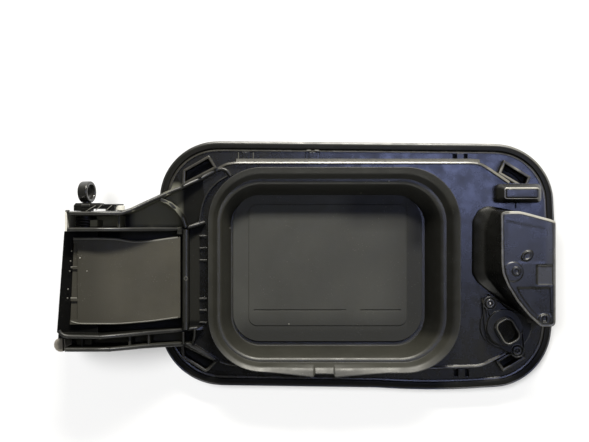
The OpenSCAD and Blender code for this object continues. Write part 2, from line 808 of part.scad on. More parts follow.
// Torsion spring: wire swept along a helix about the hinge axis
wire_r = 0.75;
coil_r = 5.1;
coil_turns = 3;
coil_steps = 20;
function coil_pt(k) =
    let (a = 360 * k * coil_turns, y = coil_y[0] + (coil_y[1] - coil_y[0]) * k)
    [axis_x + coil_r * cos(a), y, axis_z + coil_r * sin(a)];
function coil_path() = [for (i = [0:coil_turns * coil_steps]) coil_pt(i / (coil_turns * coil_steps))];
module hinge_spring() {
    path = coil_path();
    sides = 8;
    n = len(path);
    color("dimgray") polyhedron(
        points = [for (i = [0:n - 1])
            let (
                d = unit(path[min(i + 1, n - 1)] - path[max(i - 1, 0)]),
                out = unit([path[i][0] - axis_x, 0, path[i][2] - axis_z]),
                up = cross(d, out)
            )
            for (s = [0:sides - 1])
                let (a = 360 * s / sides)
                path[i] + wire_r * (out * cos(a) + up * sin(a))],
        faces = concat(
            [for (i = [0:n - 2]) for (s = [0:sides - 1])
                let (a = i * sides + s, b = i * sides + (s + 1) % sides)
                each [[a, b, a + sides], [b, b + sides, a + sides]]],
            [[for (s = [sides - 1:-1:0]) s]],
            [[for (s = [0:sides - 1]) (n - 1) * sides + s]]
        ),
        convexity = 6
    );
}

cap_t = 1.2;
module channel_cap() {
    color("white") translate([arm_end_x - fit_gap - cap_t, 20.2, arm_low + floor_t])
        cube([cap_t, 11.3, rail_top - arm_low - floor_t]);
}

module arm_bumper() {
    color([0.55, 0.52, 0.47]) difference() {
        translate([-172, -44.7, arm_low + floor_t]) cylinder(r = 4, h = 18);
        translate([-169.75, -60, 0]) cube([20, 30, 60]);
    }
}

module edge_clips() {
    color(dark_grey) for (c = clip_spots) {
        intersection() {
            translate([c[0] - 1.4, c[1] - 1.4, 0]) cube([2.8, 2.8, flange_top + 1]);
            crown(skin_t + fit_gap);
        }
        translate([c[0] - clip_tongue[0] / 2, c[1] - clip_tongue[1] / 2, flange_top + fit_gap])
            cube([clip_tongue[0], clip_tongue[1], 1.2]);
    }
}

outer_skin();
carrier_frame();
charge_seal();
floor_plate();
latch_cover();
buffer_block();
receiver_base();
latch_receiver();
receiver_collar();
receiver_screw_upper();
receiver_screw_lower();
hinge_pin();
pull_ring();
hinge_block();
lever_arm();
roller_axle();
stop_roller();
hinge_spring();
channel_cap();
arm_bumper();
edge_clips();
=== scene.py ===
# Inner side of a charging port door, lying on its outer face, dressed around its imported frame.
import json
import math

import bmesh
import bpy
import numpy as np
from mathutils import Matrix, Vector


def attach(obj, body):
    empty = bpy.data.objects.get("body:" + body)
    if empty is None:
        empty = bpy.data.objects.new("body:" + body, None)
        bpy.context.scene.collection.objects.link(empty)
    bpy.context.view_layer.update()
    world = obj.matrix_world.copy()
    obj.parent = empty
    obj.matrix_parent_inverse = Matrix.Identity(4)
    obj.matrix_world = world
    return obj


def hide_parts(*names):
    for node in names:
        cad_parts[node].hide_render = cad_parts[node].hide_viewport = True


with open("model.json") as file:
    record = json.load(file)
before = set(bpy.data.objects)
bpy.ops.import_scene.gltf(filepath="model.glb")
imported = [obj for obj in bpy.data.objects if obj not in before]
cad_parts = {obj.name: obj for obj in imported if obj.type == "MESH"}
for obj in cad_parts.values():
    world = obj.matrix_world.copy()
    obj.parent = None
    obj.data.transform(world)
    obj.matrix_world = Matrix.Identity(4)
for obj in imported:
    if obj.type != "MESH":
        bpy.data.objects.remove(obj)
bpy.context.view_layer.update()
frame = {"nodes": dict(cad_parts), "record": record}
nodes = frame["nodes"]
mm = 0.001
print("frame loaded:", len(nodes), "nodes")

# The camera stands straight above the door, where the photo was taken from
cameraSetup = {
    "centre": (-38.4, 26.1),  # point of the floor plan under the lens, mm
    "height": 610.0,
    "focal": 61.13,
    "sensor": 36.0,
    # the view's middle pixel, and a pixel's size in mm at a height in mm
    "middlePixel": (294.5, 221.0), "pixelSize": 0.6, "sizedAt": 10.0,
}


def linkNew(name, data):
    obj = bpy.data.objects.new(name, data)
    bpy.context.scene.collection.objects.link(obj)
    return obj


def makeCamera(setup):
    data = bpy.data.cameras.new("viewCamera")
    data.lens = setup["focal"]
    data.sensor_width = setup["sensor"]
    data.clip_start = 0.01
    camera = linkNew("viewCamera", data)
    camera.location = Vector((*setup["centre"], setup["height"])) * mm
    bpy.context.scene.camera = camera


makeCamera(cameraSetup)


# Grids, loops and profiles

def gridFaces(rows, cols, wrapRows=False, start=0):
    # Quads between neighbouring rows and columns of points that are numbered row by row; each
    # row is a closed ring.
    i, j = np.meshgrid(np.arange(rows if wrapRows else rows - 1), np.arange(cols), indexing="ij")
    below, beside = (i + 1) % rows, (j + 1) % cols
    quads = np.stack([i * cols + j, i * cols + beside, below * cols + beside, below * cols + j], axis=-1)
    return (quads.reshape(-1, 4) + start).tolist()


def openFaces(rows, cols):
    # Rings joined one to the next, the first and the last ring each closed by one face.
    ends = [list(range(cols)), list(range((rows - 1) * cols, rows * cols))]
    return gridFaces(rows, cols) + ends


def closedStack(rings, first, last):
    # Rings joined one to the next, the first and the last ring each closed to one point.
    count, total = len(rings[0]), len(rings) * len(rings[0])
    faces, ring = gridFaces(len(rings), count), np.arange(count)
    for start, centre in ((0, total), (total - count, total + 1)):
        fan = [start + ring, start + np.roll(ring, -1), np.full(count, centre)]
        faces += np.stack(fan, axis=-1).tolist()
    return np.vstack([*rings, [first, last]]), faces


def levelRing(plan, height):
    # Points of the plan, all at one height or each at its own.
    return np.column_stack([plan, np.broadcast_to(height, (len(plan),))])


def arcPoints(cx, cy, radius, start, end, count):
    # Points at even angles between start and end on the circle about (cx, cy).
    angle = np.radians(np.linspace(start, end, count))
    return np.stack([cx + radius * np.cos(angle), cy + radius * np.sin(angle)], axis=-1)


def evenSteps(points, count=0, spacing=0.5, endpoint=True):
    # Points at even steps of a line's length in plan: count of them, or else one each spacing.
    run = np.concatenate([[0], np.cumsum(np.linalg.norm(np.diff(points, axis=0), axis=1))])
    count = count or max(3, int(run[-1] / spacing) + 1)
    place = np.linspace(0, run[-1], count, endpoint=endpoint)
    return np.stack([np.interp(place, run, points[:, k]) for k in range(2)], axis=-1)


def evenLoop(points, count, passes):
    # A closed outline in even steps, then each point is averaged with its two neighbours, as many
    # times as passes says, which rounds the joints.
    loop = evenSteps(np.array([*points, points[0]], float), count, endpoint=False)
    for _ in range(passes):
        loop = (np.roll(loop, 1, axis=0) + 2 * loop + np.roll(loop, -1, axis=0)) / 4
    return loop


def evenPath(points, spacing, passes):
    # An open line in even steps, smoothed the same way, its ends kept.
    path = evenSteps(np.array(points, float), spacing=spacing)
    for _ in range(passes):
        path[1:-1] = (path[:-2] + 2 * path[1:-1] + path[2:]) / 4
    return path


def leftOf(plan, closed=True):
    # The unit vector to the left of the way along a line, or round a loop, at each point.
    along = np.roll(plan, -1, axis=0) - np.roll(plan, 1, axis=0) if closed else np.gradient(plan, axis=0)
    along /= np.linalg.norm(along, axis=1, keepdims=True)
    return np.stack([-along[:, 1], along[:, 0]], axis=-1)


crownPower = {"level": 0.9, "leaning": 0.35}


def beadAlong(plan, height, width, drop, closed=False, sections=13, lean=0.0):
    # A bar with a rounded crown carried along a line in plan: across the bar the section is the
    # upper half of an oblong, drop deep, that stands on a flat underside. A leaning bar has a
    # flatter top that falls by lean times drop towards +Y.
    plan = np.asarray(plan, float)
    across = leftOf(plan, closed)
    angle = np.linspace(0, math.pi, sections)
    side = np.cos(angle)
    crown = np.sin(angle) ** crownPower["leaning" if lean else "level"]
    fall = 1 - lean * (0.5 + 0.5 * side[None] * across[:, 1:])
    level = np.broadcast_to(np.asarray(height, float), (len(plan),))
    flat = plan[:, None] + across[:, None] * side[None, :, None] * width / 2
    high = level[:, None] + drop * (crown[None] * fall - 1)
    points = np.concatenate([flat, high[..., None]], axis=-1).reshape(-1, 3)
    faces = gridFaces(len(plan), sections, wrapRows=True) if closed else openFaces(len(plan), sections)
    return points, faces


def barAlong(line, height, width, drop, spacing=0.5, passes=0, **more):
    # A bead along an open line in even, smoothed steps. It is level, rises evenly between two
    # heights, or takes its height from a function of x.
    plan = evenPath(line, spacing, passes)
    if isinstance(height, tuple):
        height = np.linspace(*height, len(plan))
    elif callable(height):
        height = height(plan[:, 0])
    return beadAlong(plan, height, width, drop, **more)


def sectionAlong(plan, section):
    # A closed section, in offset to the +Y side and height, carried along a line in plan.
    plan, section = np.asarray(plan, float), np.asarray(section, float)
    across = leftOf(plan, closed=False)
    across *= np.where(across[:, 1:] < 0, -1, 1)
    flat = plan[:, None] + across[:, None] * section[None, :, :1]
    high = np.broadcast_to(section[None, :, 1:], (*flat.shape[:2], 1))
    return np.concatenate([flat, high], axis=-1).reshape(-1, 3), openFaces(len(plan), len(section))


def gather(parts):
    # Several point arrays and face lists as one.
    points, faces, start = [], [], 0
    for partPoints, partFaces in parts:
        points.append(partPoints)
        faces += [[index + start for index in face] for face in partFaces]
        start += len(partPoints)
    return np.vstack(points), faces


def boxLoop(box, radius, corner, runs):
    # A box with round corners, anticlockwise from the start of its lower run: each straight run
    # and each quarter arc has a fixed number of points, so that two such loops match.
    x0, y0, x1, y1 = box
    r = radius
    middles = np.array([(x1 - r, y0 + r), (x1 - r, y1 - r), (x0 + r, y1 - r), (x0 + r, y0 + r)])
    sides = []
    for k, out in enumerate(np.array([(0, -r), (r, 0), (0, r), (-r, 0)])):
        sides.append(np.linspace(middles[k - 1] + out, middles[k] + out, runs[k % 2], endpoint=False))
        sides.append(arcPoints(*middles[k], r, 90 * k - 90, 90 * k, corner + 1)[:-1])
    return np.vstack(sides)


def cutCorners(profile, passes, closed=True):
    # Each point gives way to two, a quarter and three quarters along the step to the next one.
    points = np.asarray(profile, float)
    for _ in range(passes):
        follow = np.roll(points, -1, axis=0)
        pair = np.stack([0.75 * points + 0.25 * follow, 0.25 * points + 0.75 * follow], axis=1)
        cut = pair.reshape(-1, points.shape[1])
        points = cut if closed else np.vstack([points[:1], cut[1:-3], points[-1:]])
    return points


def step(value, low, high):
    # Smooth step from 0 at low to 1 at high.
    t = np.clip((value - low) / (high - low), 0, 1)
    return t * t * (3 - 2 * t)


def signedPower(value, power):
    return np.sign(value) * np.abs(value) ** power


mergeDistance = {"made": 1e-7, "copied": 2e-6}


def shadeMesh(mesh, sharp, *materials):
    # Smooth faces, sharp only where the surface bends by more than an angle in degrees.
    mesh.polygons.foreach_set("use_smooth", np.ones(len(mesh.polygons), bool))
    mesh.set_sharp_from_angle(angle=math.radians(sharp))
    mesh.materials.clear()
    for material in materials:
        mesh.materials.append(material)


def hangPiece(mesh, body, stands=()):
    # Makes a mesh a piece that rides on its body. The nodes in stands are no longer shown.
    obj = linkNew(mesh.name, mesh)
    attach(obj, body)
    if stands:
        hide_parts(*stands)
    return obj


def putPiece(name, part, body, slot, look="", sharp=60, stands=()):
    # Puts an array of points in mm and its faces into a mesh and turns the faces outwards. The
    # look is the slot's own, unless another one is named.
    points, faces = part
    mesh = bpy.data.meshes.new(name)
    mesh.from_pydata((np.asarray(points) * mm).tolist(), [], faces)
    work = bmesh.new()
    work.from_mesh(mesh)
    bmesh.ops.remove_doubles(work, verts=work.verts, dist=mergeDistance["made"])
    bmesh.ops.recalc_face_normals(work, faces=work.faces)
    work.to_mesh(mesh)
    work.free()
    shadeMesh(mesh, sharp, finishes[look or slot])
    hangPiece(mesh, body, stands)


def mergedCopy(node, name, rework=None):
    # A copy of a frame node's mesh with its points merged, reworked before it is written back.
    mesh = nodes[node].data.copy()
    mesh.name = name
    for key in ("custom_normal", "sharp_edge", "sharp_face"):
        if key in mesh.attributes:
            mesh.attributes.remove(mesh.attributes[key])
    work = bmesh.new()
    work.from_mesh(mesh)
    bmesh.ops.remove_doubles(work, verts=work.verts, dist=mergeDistance["copied"])
    if rework:
        rework(work)
    work.to_mesh(mesh)
    work.free()
    return mesh


copyEdges = {"segments": 3, "sharp": 30, "flat": 0.4, "narrowShare": 0.42}


def roundedCopy(node, name, body, look, width, shape):
    # A merged copy of a frame node, its flat faces joined, with every edge rounded by a bevel.
    # A face's width is twice its area over its outline's length: an edge of a narrow face gets a
    # rounding of at most a share of that width.
    sharp = math.radians(shape["sharp"])

    def weighEdges(work):
        flat = math.radians(shape["flat"])
        bmesh.ops.dissolve_limit(work, angle_limit=flat, verts=work.verts, edges=work.edges)
        faceWidth = {face: 2 * face.calc_area() / face.calc_perimeter() for face in work.faces}
        weight = work.edges.layers.float.new("bevel_weight_edge")
        for edge in work.edges:
            if len(edge.link_faces) == 2 and edge.calc_face_angle() > sharp:
                narrow = min(faceWidth[face] for face in edge.link_faces)
                edge[weight] = min(1.0, shape["narrowShare"] * narrow / (width * mm))
        bmesh.ops.triangulate(work, faces=[face for face in work.faces if len(face.verts) > 4])

    mesh = mergedCopy(node, name, weighEdges)
    shadeMesh(mesh, shape["sharp"], finishes[look])
    obj = hangPiece(mesh, body, [node])
    bevel = obj.modifiers.new("edgeRound", "BEVEL")
    bevel.width = width * mm
    bevel.segments = shape["segments"]
    bevel.limit_method = "WEIGHT"
    bevel.use_clamp_overlap = False
    bevel.harden_normals = True


# Shader nodes

def feed(tree, socket, value):
    # Links another node's output to a socket, or sets the socket's own value.
    if isinstance(value, bpy.types.NodeSocket):
        tree.links.new(value, socket)
    else:
        socket.default_value = (*value, 1) if isinstance(value, tuple) else value


def addNode(tree, kind, feeds, **settings):
    node = tree.nodes.new("ShaderNode" + kind)
    for key, value in settings.items():
        setattr(node, key, value)
    for key, value in feeds.items():
        feed(tree, node.inputs[key], value)
    return node


def mixOf(tree, fac, first, second, blend="MIX"):
    feeds = {"Factor": fac, "A": first, "B": second}
    return addNode(tree, "Mix", feeds, data_type="RGBA", blend_type=blend).outputs["Result"]


def rangeOf(tree, source, low, high, least=0.0, most=1.0, curve="LINEAR"):
    feeds = {"Value": source, "From Min": low, "From Max": high, "To Min": least, "To Max": most}
    return addNode(tree, "MapRange", feeds, interpolation_type=curve).outputs["Result"]


# Finishes: every one reads Object coordinates
wearAndEdgeLightColor = (0.2, 0.19, 0.17)
dustColor = (0.45, 0.44, 0.4)
noiseScale = {"motes": 650.0, "film": 90.0, "gloss": 130.0, "swell": 70.0}
bumpDepth = {"swell": 0.0006, "grain": 0.00015}  # m


def mouldedFinish(name, look):
    # Two tones under soft noise, zones of another tone that mostly paint shade, fill light and
    # highlights, edges that are rounded and slightly paler as wear and as a painted edge highlight,
    # dust, uneven gloss, and a slow swell with a grain of small bumps.
    mat = bpy.data.materials.new(name)
    mat.use_nodes = True
    tree = mat.node_tree
    coord = tree.nodes.new("ShaderNodeTexCoord").outputs["Object"]

    def noise(scale, detail, roughness=0.5):
        feeds = {"Vector": coord, "Scale": scale, "Detail": detail, "Roughness": roughness}
        return addNode(tree, "TexNoise", feeds).outputs["Fac"]

    def times(first, second):
        return addNode(tree, "Math", {0: first, 1: second}, operation="MULTIPLY").outputs["Value"]

    def bump(strength, distance, height, normal):
        feeds = {"Strength": strength, "Distance": distance, "Height": height, "Normal": normal}
        return addNode(tree, "Bump", feeds).outputs["Normal"]

    base, tone = look["base"], look.get("tone", 0.15)
    dark, pale = [tuple(c * (1 + way * tone) for c in base) for way in (-1, 1)]
    cloud = noise(look.get("toneScale", 40), 5.0, 0.6)
    color = mixOf(tree, rangeOf(tree, cloud, 0.35, 0.65), dark, pale)

    # Zones: boxes in plan, in mm, where the base colour is multiplied, with the width of their
    # soft edges; in the looks below they paint shade, fill light into shade, or paint highlights, as noted
    # at each.
    place = addNode(tree, "SeparateXYZ", {"Vector": coord}).outputs
    for (x0, x1, y0, y1), factor, soft in look.get("zones", ()):
        inside = 1.0
        for axis, edge, way in (("X", x0, 1), ("X", x1, -1), ("Y", y0, 1), ("Y", y1, -1)):
            inside = times(inside, rangeOf(tree, place[axis], edge * mm, (edge + way * soft) * mm))
        color = mixOf(tree, inside, color, tuple(c * factor for c in base))

    rounded = addNode(tree, "Bevel", {"Radius": look.get("edge", 0.4) * mm}, samples=6).outputs["Normal"]
    facing = tree.nodes.new("ShaderNodeNewGeometry").outputs["Normal"]
    lean = addNode(tree, "VectorMath", {0: rounded, 1: facing}, operation="DOT_PRODUCT").outputs["Value"]
    # Edges paler by the bevel's bend: partly wear, partly a painted highlight on rounded edges.
    wearAndEdgeLight = rangeOf(tree, lean, 0.995, 0.86, 0.0, look.get("edgeWearAndLight", 0.3))
    color = mixOf(tree, wearAndEdgeLight, color, wearAndEdgeLightColor)

    motes = addNode(tree, "TexVoronoi", {"Vector": coord, "Scale": noiseScale["motes"]}).outputs["Distance"]
    film = rangeOf(tree, noise(noiseScale["film"], 3.0), 0.5, 0.72, 0.0, look.get("dust", 0.15))
    color = mixOf(tree, times(rangeOf(tree, motes, 0.16, 0.08), film), color, dustColor)

    rough, spread = look["rough"], look.get("glossSpread", 0.07)
    swell = bump(look.get("wave", 0.1), bumpDepth["swell"], noise(noiseScale["swell"], 2.0), rounded)
    grain = noise(look.get("grainScale", 1800), 2.0)
    clouds = noise(noiseScale["gloss"], 4.0)
    bsdf = tree.nodes["Principled BSDF"]
    for key, value in (("Base Color", color),
                       ("Roughness", rangeOf(tree, clouds, 0.3, 0.7, rough - spread, rough + spread)),
                       ("Metallic", look.get("metal", 0.0)), ("Specular IOR Level", look.get("gloss", 0.5)),
                       ("Normal", bump(look.get("grain", 0.2), bumpDepth["grain"], grain, swell))):
        feed(tree, bsdf.inputs[key], value)
    return mat


looks = {
    "skin_paint": {"base": (0.012, 0.0118, 0.0105), "rough": 0.42, "grain": 0.1, "edge": 0.5, "gloss": 0.12,
                   "edgeWearAndLight": 0.03},
    "carrier_plastic": {"base": (0.006, 0.006, 0.0055), "rough": 0.27, "edgeWearAndLight": 0.2,
                        "edge": 0.3, "glossSpread": 0.09},
    "rails": {"base": (0.02, 0.02, 0.0185), "rough": 0.36, "edgeWearAndLight": 0.1, "edge": 0.2,
              "tone": 0.35, "toneScale": 60},
    # The rib bars are paler than the carrier, and four times paler at the upper right slant: a painted
    # highlight on the lit rib tops.
    "ribs": {"base": (0.05, 0.048, 0.042), "rough": 0.27, "grain": 0.15, "edgeWearAndLight": 0.1, "edge": 0.2,
             "tone": 0.25, "toneScale": 60, "gloss": 0.55, "zones": [((70, 97, 42, 60), 4, 3)]},
    # The hem line is made twelve times paler at the upper right corner and four times along the right side:
    # a painted highlight.
    "hem": {"base": (0.012, 0.0118, 0.0105), "rough": 0.4, "grain": 0.15, "gloss": 0.8, "edgeWearAndLight": 0.0,
            "edge": 0.2, "zones": [((66, 125, 16, 80), 12, 14), ((90, 125, -60, 30), 4, 10)]},
    # Pale beads on lit edges, paler still along the cover's top, the stop block's top and the hub: painted
    # highlights.
    "trim": {"base": (0.1, 0.098, 0.09), "rough": 0.32, "edgeWearAndLight": 0.0, "tone": 0.35,
             "toneScale": 150, "zones": [((84, 119, 24.6, 34), 4, 1.2), ((82, 110, 44.4, 49), 3.5, 1),
                                         ((-165, -140, 28, 40), 2.5, 1)]},
    # The paler zones fill the arm's shaded channel floors with painted light; the darker zone at the arm's
    # left strip is painted shade.
    "trench": {"base": (0.006, 0.006, 0.005), "rough": 0.55, "grain": 0.3, "edgeWearAndLight": 0.1, "edge": 0.3,
               "gloss": 0.12, "tone": 0.25, "toneScale": 70,
               "zones": [((-136, -104, 20.5, 50), 34, 4), ((-106, -92, -34, 19), 3, 1.5),
                         ((-169, -138, 22.3, 29.8), 45, 1),
                         ((-168, -104, -46, -39.5), 9, 1), ((-168, -104, 15, 20.6), 4, 1),
                         ((-180, -141.2, -38.5, 21), 0.3, 0.6)]},
    "socketDark": {"base": (0.07, 0.07, 0.062), "rough": 0.8, "gloss": 0.2, "edgeWearAndLight": 0.0,
                   "grain": 0.6, "grainScale": 1400},
    "panel": {"base": (0.0615, 0.0575, 0.0435), "rough": 0.6, "grain": 0.3, "edgeWearAndLight": 0.1, "edge": 0.3,
              "tone": 0.12, "toneScale": 35, "dust": 0.3, "gloss": 0.35,
              "zones": [((-190, -141, -60, 40), 0.72, 14)]},
    # A pale colour for thin edges and small marks: a painted highlight where they catch the light.
    "panelEdge": {"base": (0.13, 0.127, 0.112), "rough": 0.5, "edgeWearAndLight": 0.0, "tone": 0.2},
    "paleDust": {"base": (0.62, 0.61, 0.56), "rough": 0.7, "edgeWearAndLight": 0.0, "dust": 0.0},
    # Darker on the boot's right side, which faces away from the light: painted shade.
    "seal_rubber": {"base": (0.0285, 0.028, 0.0222), "rough": 0.45, "grain": 0.3, "edge": 0.3, "edgeWearAndLight": 0.1,
                    "dust": 0.3, "gloss": 0.55, "zones": [((28, 60, -44, 36), 0.35, 5)]},
    # Darker towards the right and the bottom, most in the upper right corner, with a step at the pad's right
    # edge: painted shade from the boot's walls.
    "floor_plastic": {"base": (0.058, 0.059, 0.0545), "rough": 0.62, "grain": 0.35, "edgeWearAndLight": 0.15,
                      "gloss": 0.25, "dust": 0.25, "toneScale": 30, "tone": 0.1,
                      "zones": [((14, 70, -80, 80), 0.74, 14), ((-14, 80, 19, 70), 0.36, 13),
                                ((28.9, 60, -80, 80), 0.42, 1), ((27.5, 60, 6, 70), 0.12, 8),
                                ((-80, 70, -80, -29), 0.5, 12)]},
    # Darker on the lower part, the left wall and the lower right recess: painted shade; paler at the right
    # step and along the right edge above it.
    "cover_plastic": {"base": (0.013, 0.013, 0.012), "rough": 0.3, "edgeWearAndLight": 0.25, "edge": 0.3,
                      "zones": [((60, 120, -60, -2), 0.6, 12), ((50, 73, -30, 45), 0.35, 4),
                                ((99.6, 111.5, -10.5, 0.5), 3.0, 1.5), ((105, 111.5, 0, 30), 2.2, 2),
                                ((98, 111.5, -28, -12.5), 0.4, 2)]},
    "receiver_plastic": {"base": (0.008, 0.008, 0.007), "rough": 0.42, "edgeWearAndLight": 0.4, "edge": 0.3,
                         "gloss": 0.3},
    "ring_plastic": {"base": (0.02, 0.02, 0.019), "rough": 0.22, "edgeWearAndLight": 0.5, "gloss": 1.0},
    "white_nylon": {"base": (0.88, 0.87, 0.82), "rough": 0.5, "tone": 0.05, "edgeWearAndLight": 0.0, "dust": 0.0},
    "pale_rubber": {"base": (0.28, 0.26, 0.23), "rough": 0.7, "tone": 0.2, "edgeWearAndLight": 0.0},
    "bright_steel": {"base": (0.5, 0.48, 0.46), "rough": 0.42, "metal": 1.0, "edgeWearAndLight": 0.0, "tone": 0.2},
    "dark_steel": {"base": (0.06, 0.06, 0.06), "rough": 0.35, "metal": 0.6, "edgeWearAndLight": 0.2},
}
finishes = {slot: mouldedFinish(slot.replace("_", " ").title().replace(" ", ""), look)
            for slot, look in looks.items()}
slotOf = {sub["node"]: sub["material_slot"] for sub in frame["record"]["subparts"]}
for node, slot in slotOf.items():
    nodes[node].data.materials.clear()
    nodes[node].data.materials.append(finishes[slot])
print("finishes:", len(finishes))


# Outer skin
skinShape = {
    "arcs": [(79, -37, 37, -80, -5), (-361.9, 6, 480, -4, 3.4), (81.6, 36.8, 35.7, 6, 90),
             (-84.5, 39.1, 35, 90, 180), (-81.5, -34.8, 37.8, 180, 269), (45, 404.9, 480, 266, 272)],
    "around": 720,
    "thickness": 1.5,
    "crownRadius": 1400.0,
    "crownFlat": 0.8,
    # inset, height, and 1 where the height rides on the crown: the rim is folded inwards at its
    # top, with a hem that slopes outwards
    "rim": [(1.6, 0.0, 1), (0.7, 0.12, 1), (0.2, 0.5, 1), (0.0, 1.2, 1), (0.0, 8.7, 0), (0.06, 9.0, 0),
            (0.25, 9.2, 0), (1.3, 9.75, 0), (1.5, 9.85, 0), (1.9, 9.92, 0), (2.8, 9.98, 0), (3.8, 10.0, 0),
            (4.2, 9.92, 0), (4.42, 9.6, 0), (4.45, 9.2, 0), (4.3, 8.85, 0), (2.3, 8.7, 0), (1.9, 8.4, 0),
            (1.8, 7.8, 0), (1.8, 2.4, 1), (2.1, 1.7, 1), (2.8, 1.5, 1)],
    "shrink": [0.97, 0.9, 0.8, 0.65, 0.5, 0.35, 0.2, 0.08],
}


def crownHeight(x, y, shape):
    # A ball of the crown's radius, sunk so that its lowest part is cut flat at zero.
    ball = shape["crownRadius"]
    return np.maximum(0, ball - shape["crownFlat"] - np.sqrt(ball ** 2 - x ** 2 - y ** 2))


def doorLoop(shape):
    parts = [arcPoints(*arc, 60) for arc in shape["arcs"]]
    return evenLoop(np.vstack(parts), shape["around"], 16)


def makeSkin(shape):
    # The rim's profile is carried round the outline; inside it the outline shrinks to one point
    # on each face. Heights marked 1 ride on the crown, heights marked 0 are level.
    loop = doorLoop(shape)

    def ringAt(plan, lift, ride):
        return levelRing(plan, lift + ride * crownHeight(plan[:, 0], plan[:, 1], shape))

    rims = [ringAt(loop + leftOf(loop) * inset, height, ride) for inset, height, ride in shape["rim"]]
    under = [ringAt(rims[0][:, :2] * share, 0, 1) for share in shape["shrink"][::-1]]
    above = [ringAt(rims[-1][:, :2] * share, shape["thickness"], 1) for share in shape["shrink"]]
    part = closedStack(under + rims + above, (0, 0, 0), (0, 0, shape["thickness"]))
    putPiece("skinShell", part, "door", "skin_paint", sharp=35, stands=["outer_skin"])


makeSkin(skinShape)
print("skin done")


# Rubber boot
bootShape = {
    "lip": (-88.8, -61.4, 58.7, 57.6),
    "lipRadius": 32.0,
    "foot": (-76.7, -47.8, 40.3, 43.3),
    "footRadius": 18.0,
    # share of the way from lip to foot, and height
    "profile": [
        (0.0, 26.1), (0.0, 26.7), (0.006, 26.92), (0.02, 27.0), (0.05, 26.8), (0.10, 26.43), (0.15, 26.06),
        (0.20, 25.64), (0.245, 25.1), (0.28, 24.35), (0.34, 23.0), (0.40, 21.6), (0.41, 21.4),
        (0.415, 21.36), (0.42, 21.36), (0.46, 21.4), (0.50, 21.34), (0.535, 21.18), (0.575, 20.87),
        (0.60, 20.6), (0.61, 20.4), (0.66, 19.1), (0.72, 17.1), (0.80, 13.9),
        (0.90, 9.5), (0.955, 7.2), (0.985, 5.7), (0.99, 4.96), (0.995, 4.92), (1.0, 4.9), (1.14, 4.9),
        (1.14, 4.6), (0.9, 4.6), (0.82, 7.6),
        (0.68, 13.0), (0.64, 14.6), (0.34, 14.6), (0.3, 15.0), (0.3, 16.2), (0.42, 17.2), (0.38, 18.6),
        (0.28, 21.4), (0.17, 24.2), (0.04, 25.0), (0.0, 25.6),
    ],
    "notchAt": -21.0, "notchHalf": 5.9, "notchSoft": 0.7, "notchCut": 0.6,
    "sagDepth": 3.2, "sagHalf": 37.0, "sagReach": 0.34,
    "lowerShift": 1.3, "upperShift": 2.0,
    "corner": 24, "runs": (200, 50),
}


def bootSag(x, share, shape):
    # How far the lip's lower run hangs out: a rounded tent about the drain notch that fades
    # towards the foot, cut back flat inside the notch.
    away = np.abs(x - shape["notchAt"])
    tent = shape["sagDepth"] * (1 - np.clip(away / shape["sagHalf"], 0, 1)) ** 1.15
    inside = 1 - step(away, shape["notchHalf"] - shape["notchSoft"], shape["notchHalf"] + shape["notchSoft"])
    drop = tent * (1 - inside) + shape["notchCut"] * inside
    return -drop * np.clip(1 - share / shape["sagReach"], 0, 1) ** 0.8


def bootShift(x, y, share, shape):
    # How far the runs lie below an even ring: the lower run as a whole, a little less at its
    # left end's lip, and the upper run more and more towards its foot.
    less = 0.55 * (1 - step(x, -60, -10)) * np.clip(1 - share / 0.5, 0, 1)
    lower = shape["lowerShift"] * (1 - less) * (1 - step(y, -46, -18))
    upper = shape["upperShift"] * np.clip(share, 0, 1) * step(y, 14, 42)
    return lower + upper


def makeBoot(shape):
    # Each ring is the lip's outline moved by its share towards the foot's outline; the closed
    # profile gives the shares and heights.
    lip = boxLoop(shape["lip"], shape["lipRadius"], shape["corner"], shape["runs"])
    foot = boxLoop(shape["foot"], shape["footRadius"], shape["corner"], shape["runs"])
    profile = cutCorners(shape["profile"], 1)
    share = profile[:, :1]
    plan = lip[None] + (foot - lip)[None] * share[..., None]
    lower = (np.arange(len(lip)) < shape["runs"][0])[None]
    side = plan[..., 1] + np.where(lower, bootSag(plan[..., 0], share, shape), 0)
    side = side - bootShift(plan[..., 0], plan[..., 1], share, shape)
    high = np.broadcast_to(profile[:, 1:], side.shape)
    points = np.stack([plan[..., 0], side, high], axis=-1).reshape(-1, 3)
    part = points, gridFaces(len(profile), len(lip), wrapRows=True)
    putPiece("rubberBoot", part, "door", "seal_rubber", sharp=50, stands=["charge_seal"])


makeBoot(bootShape)
print("boot done")


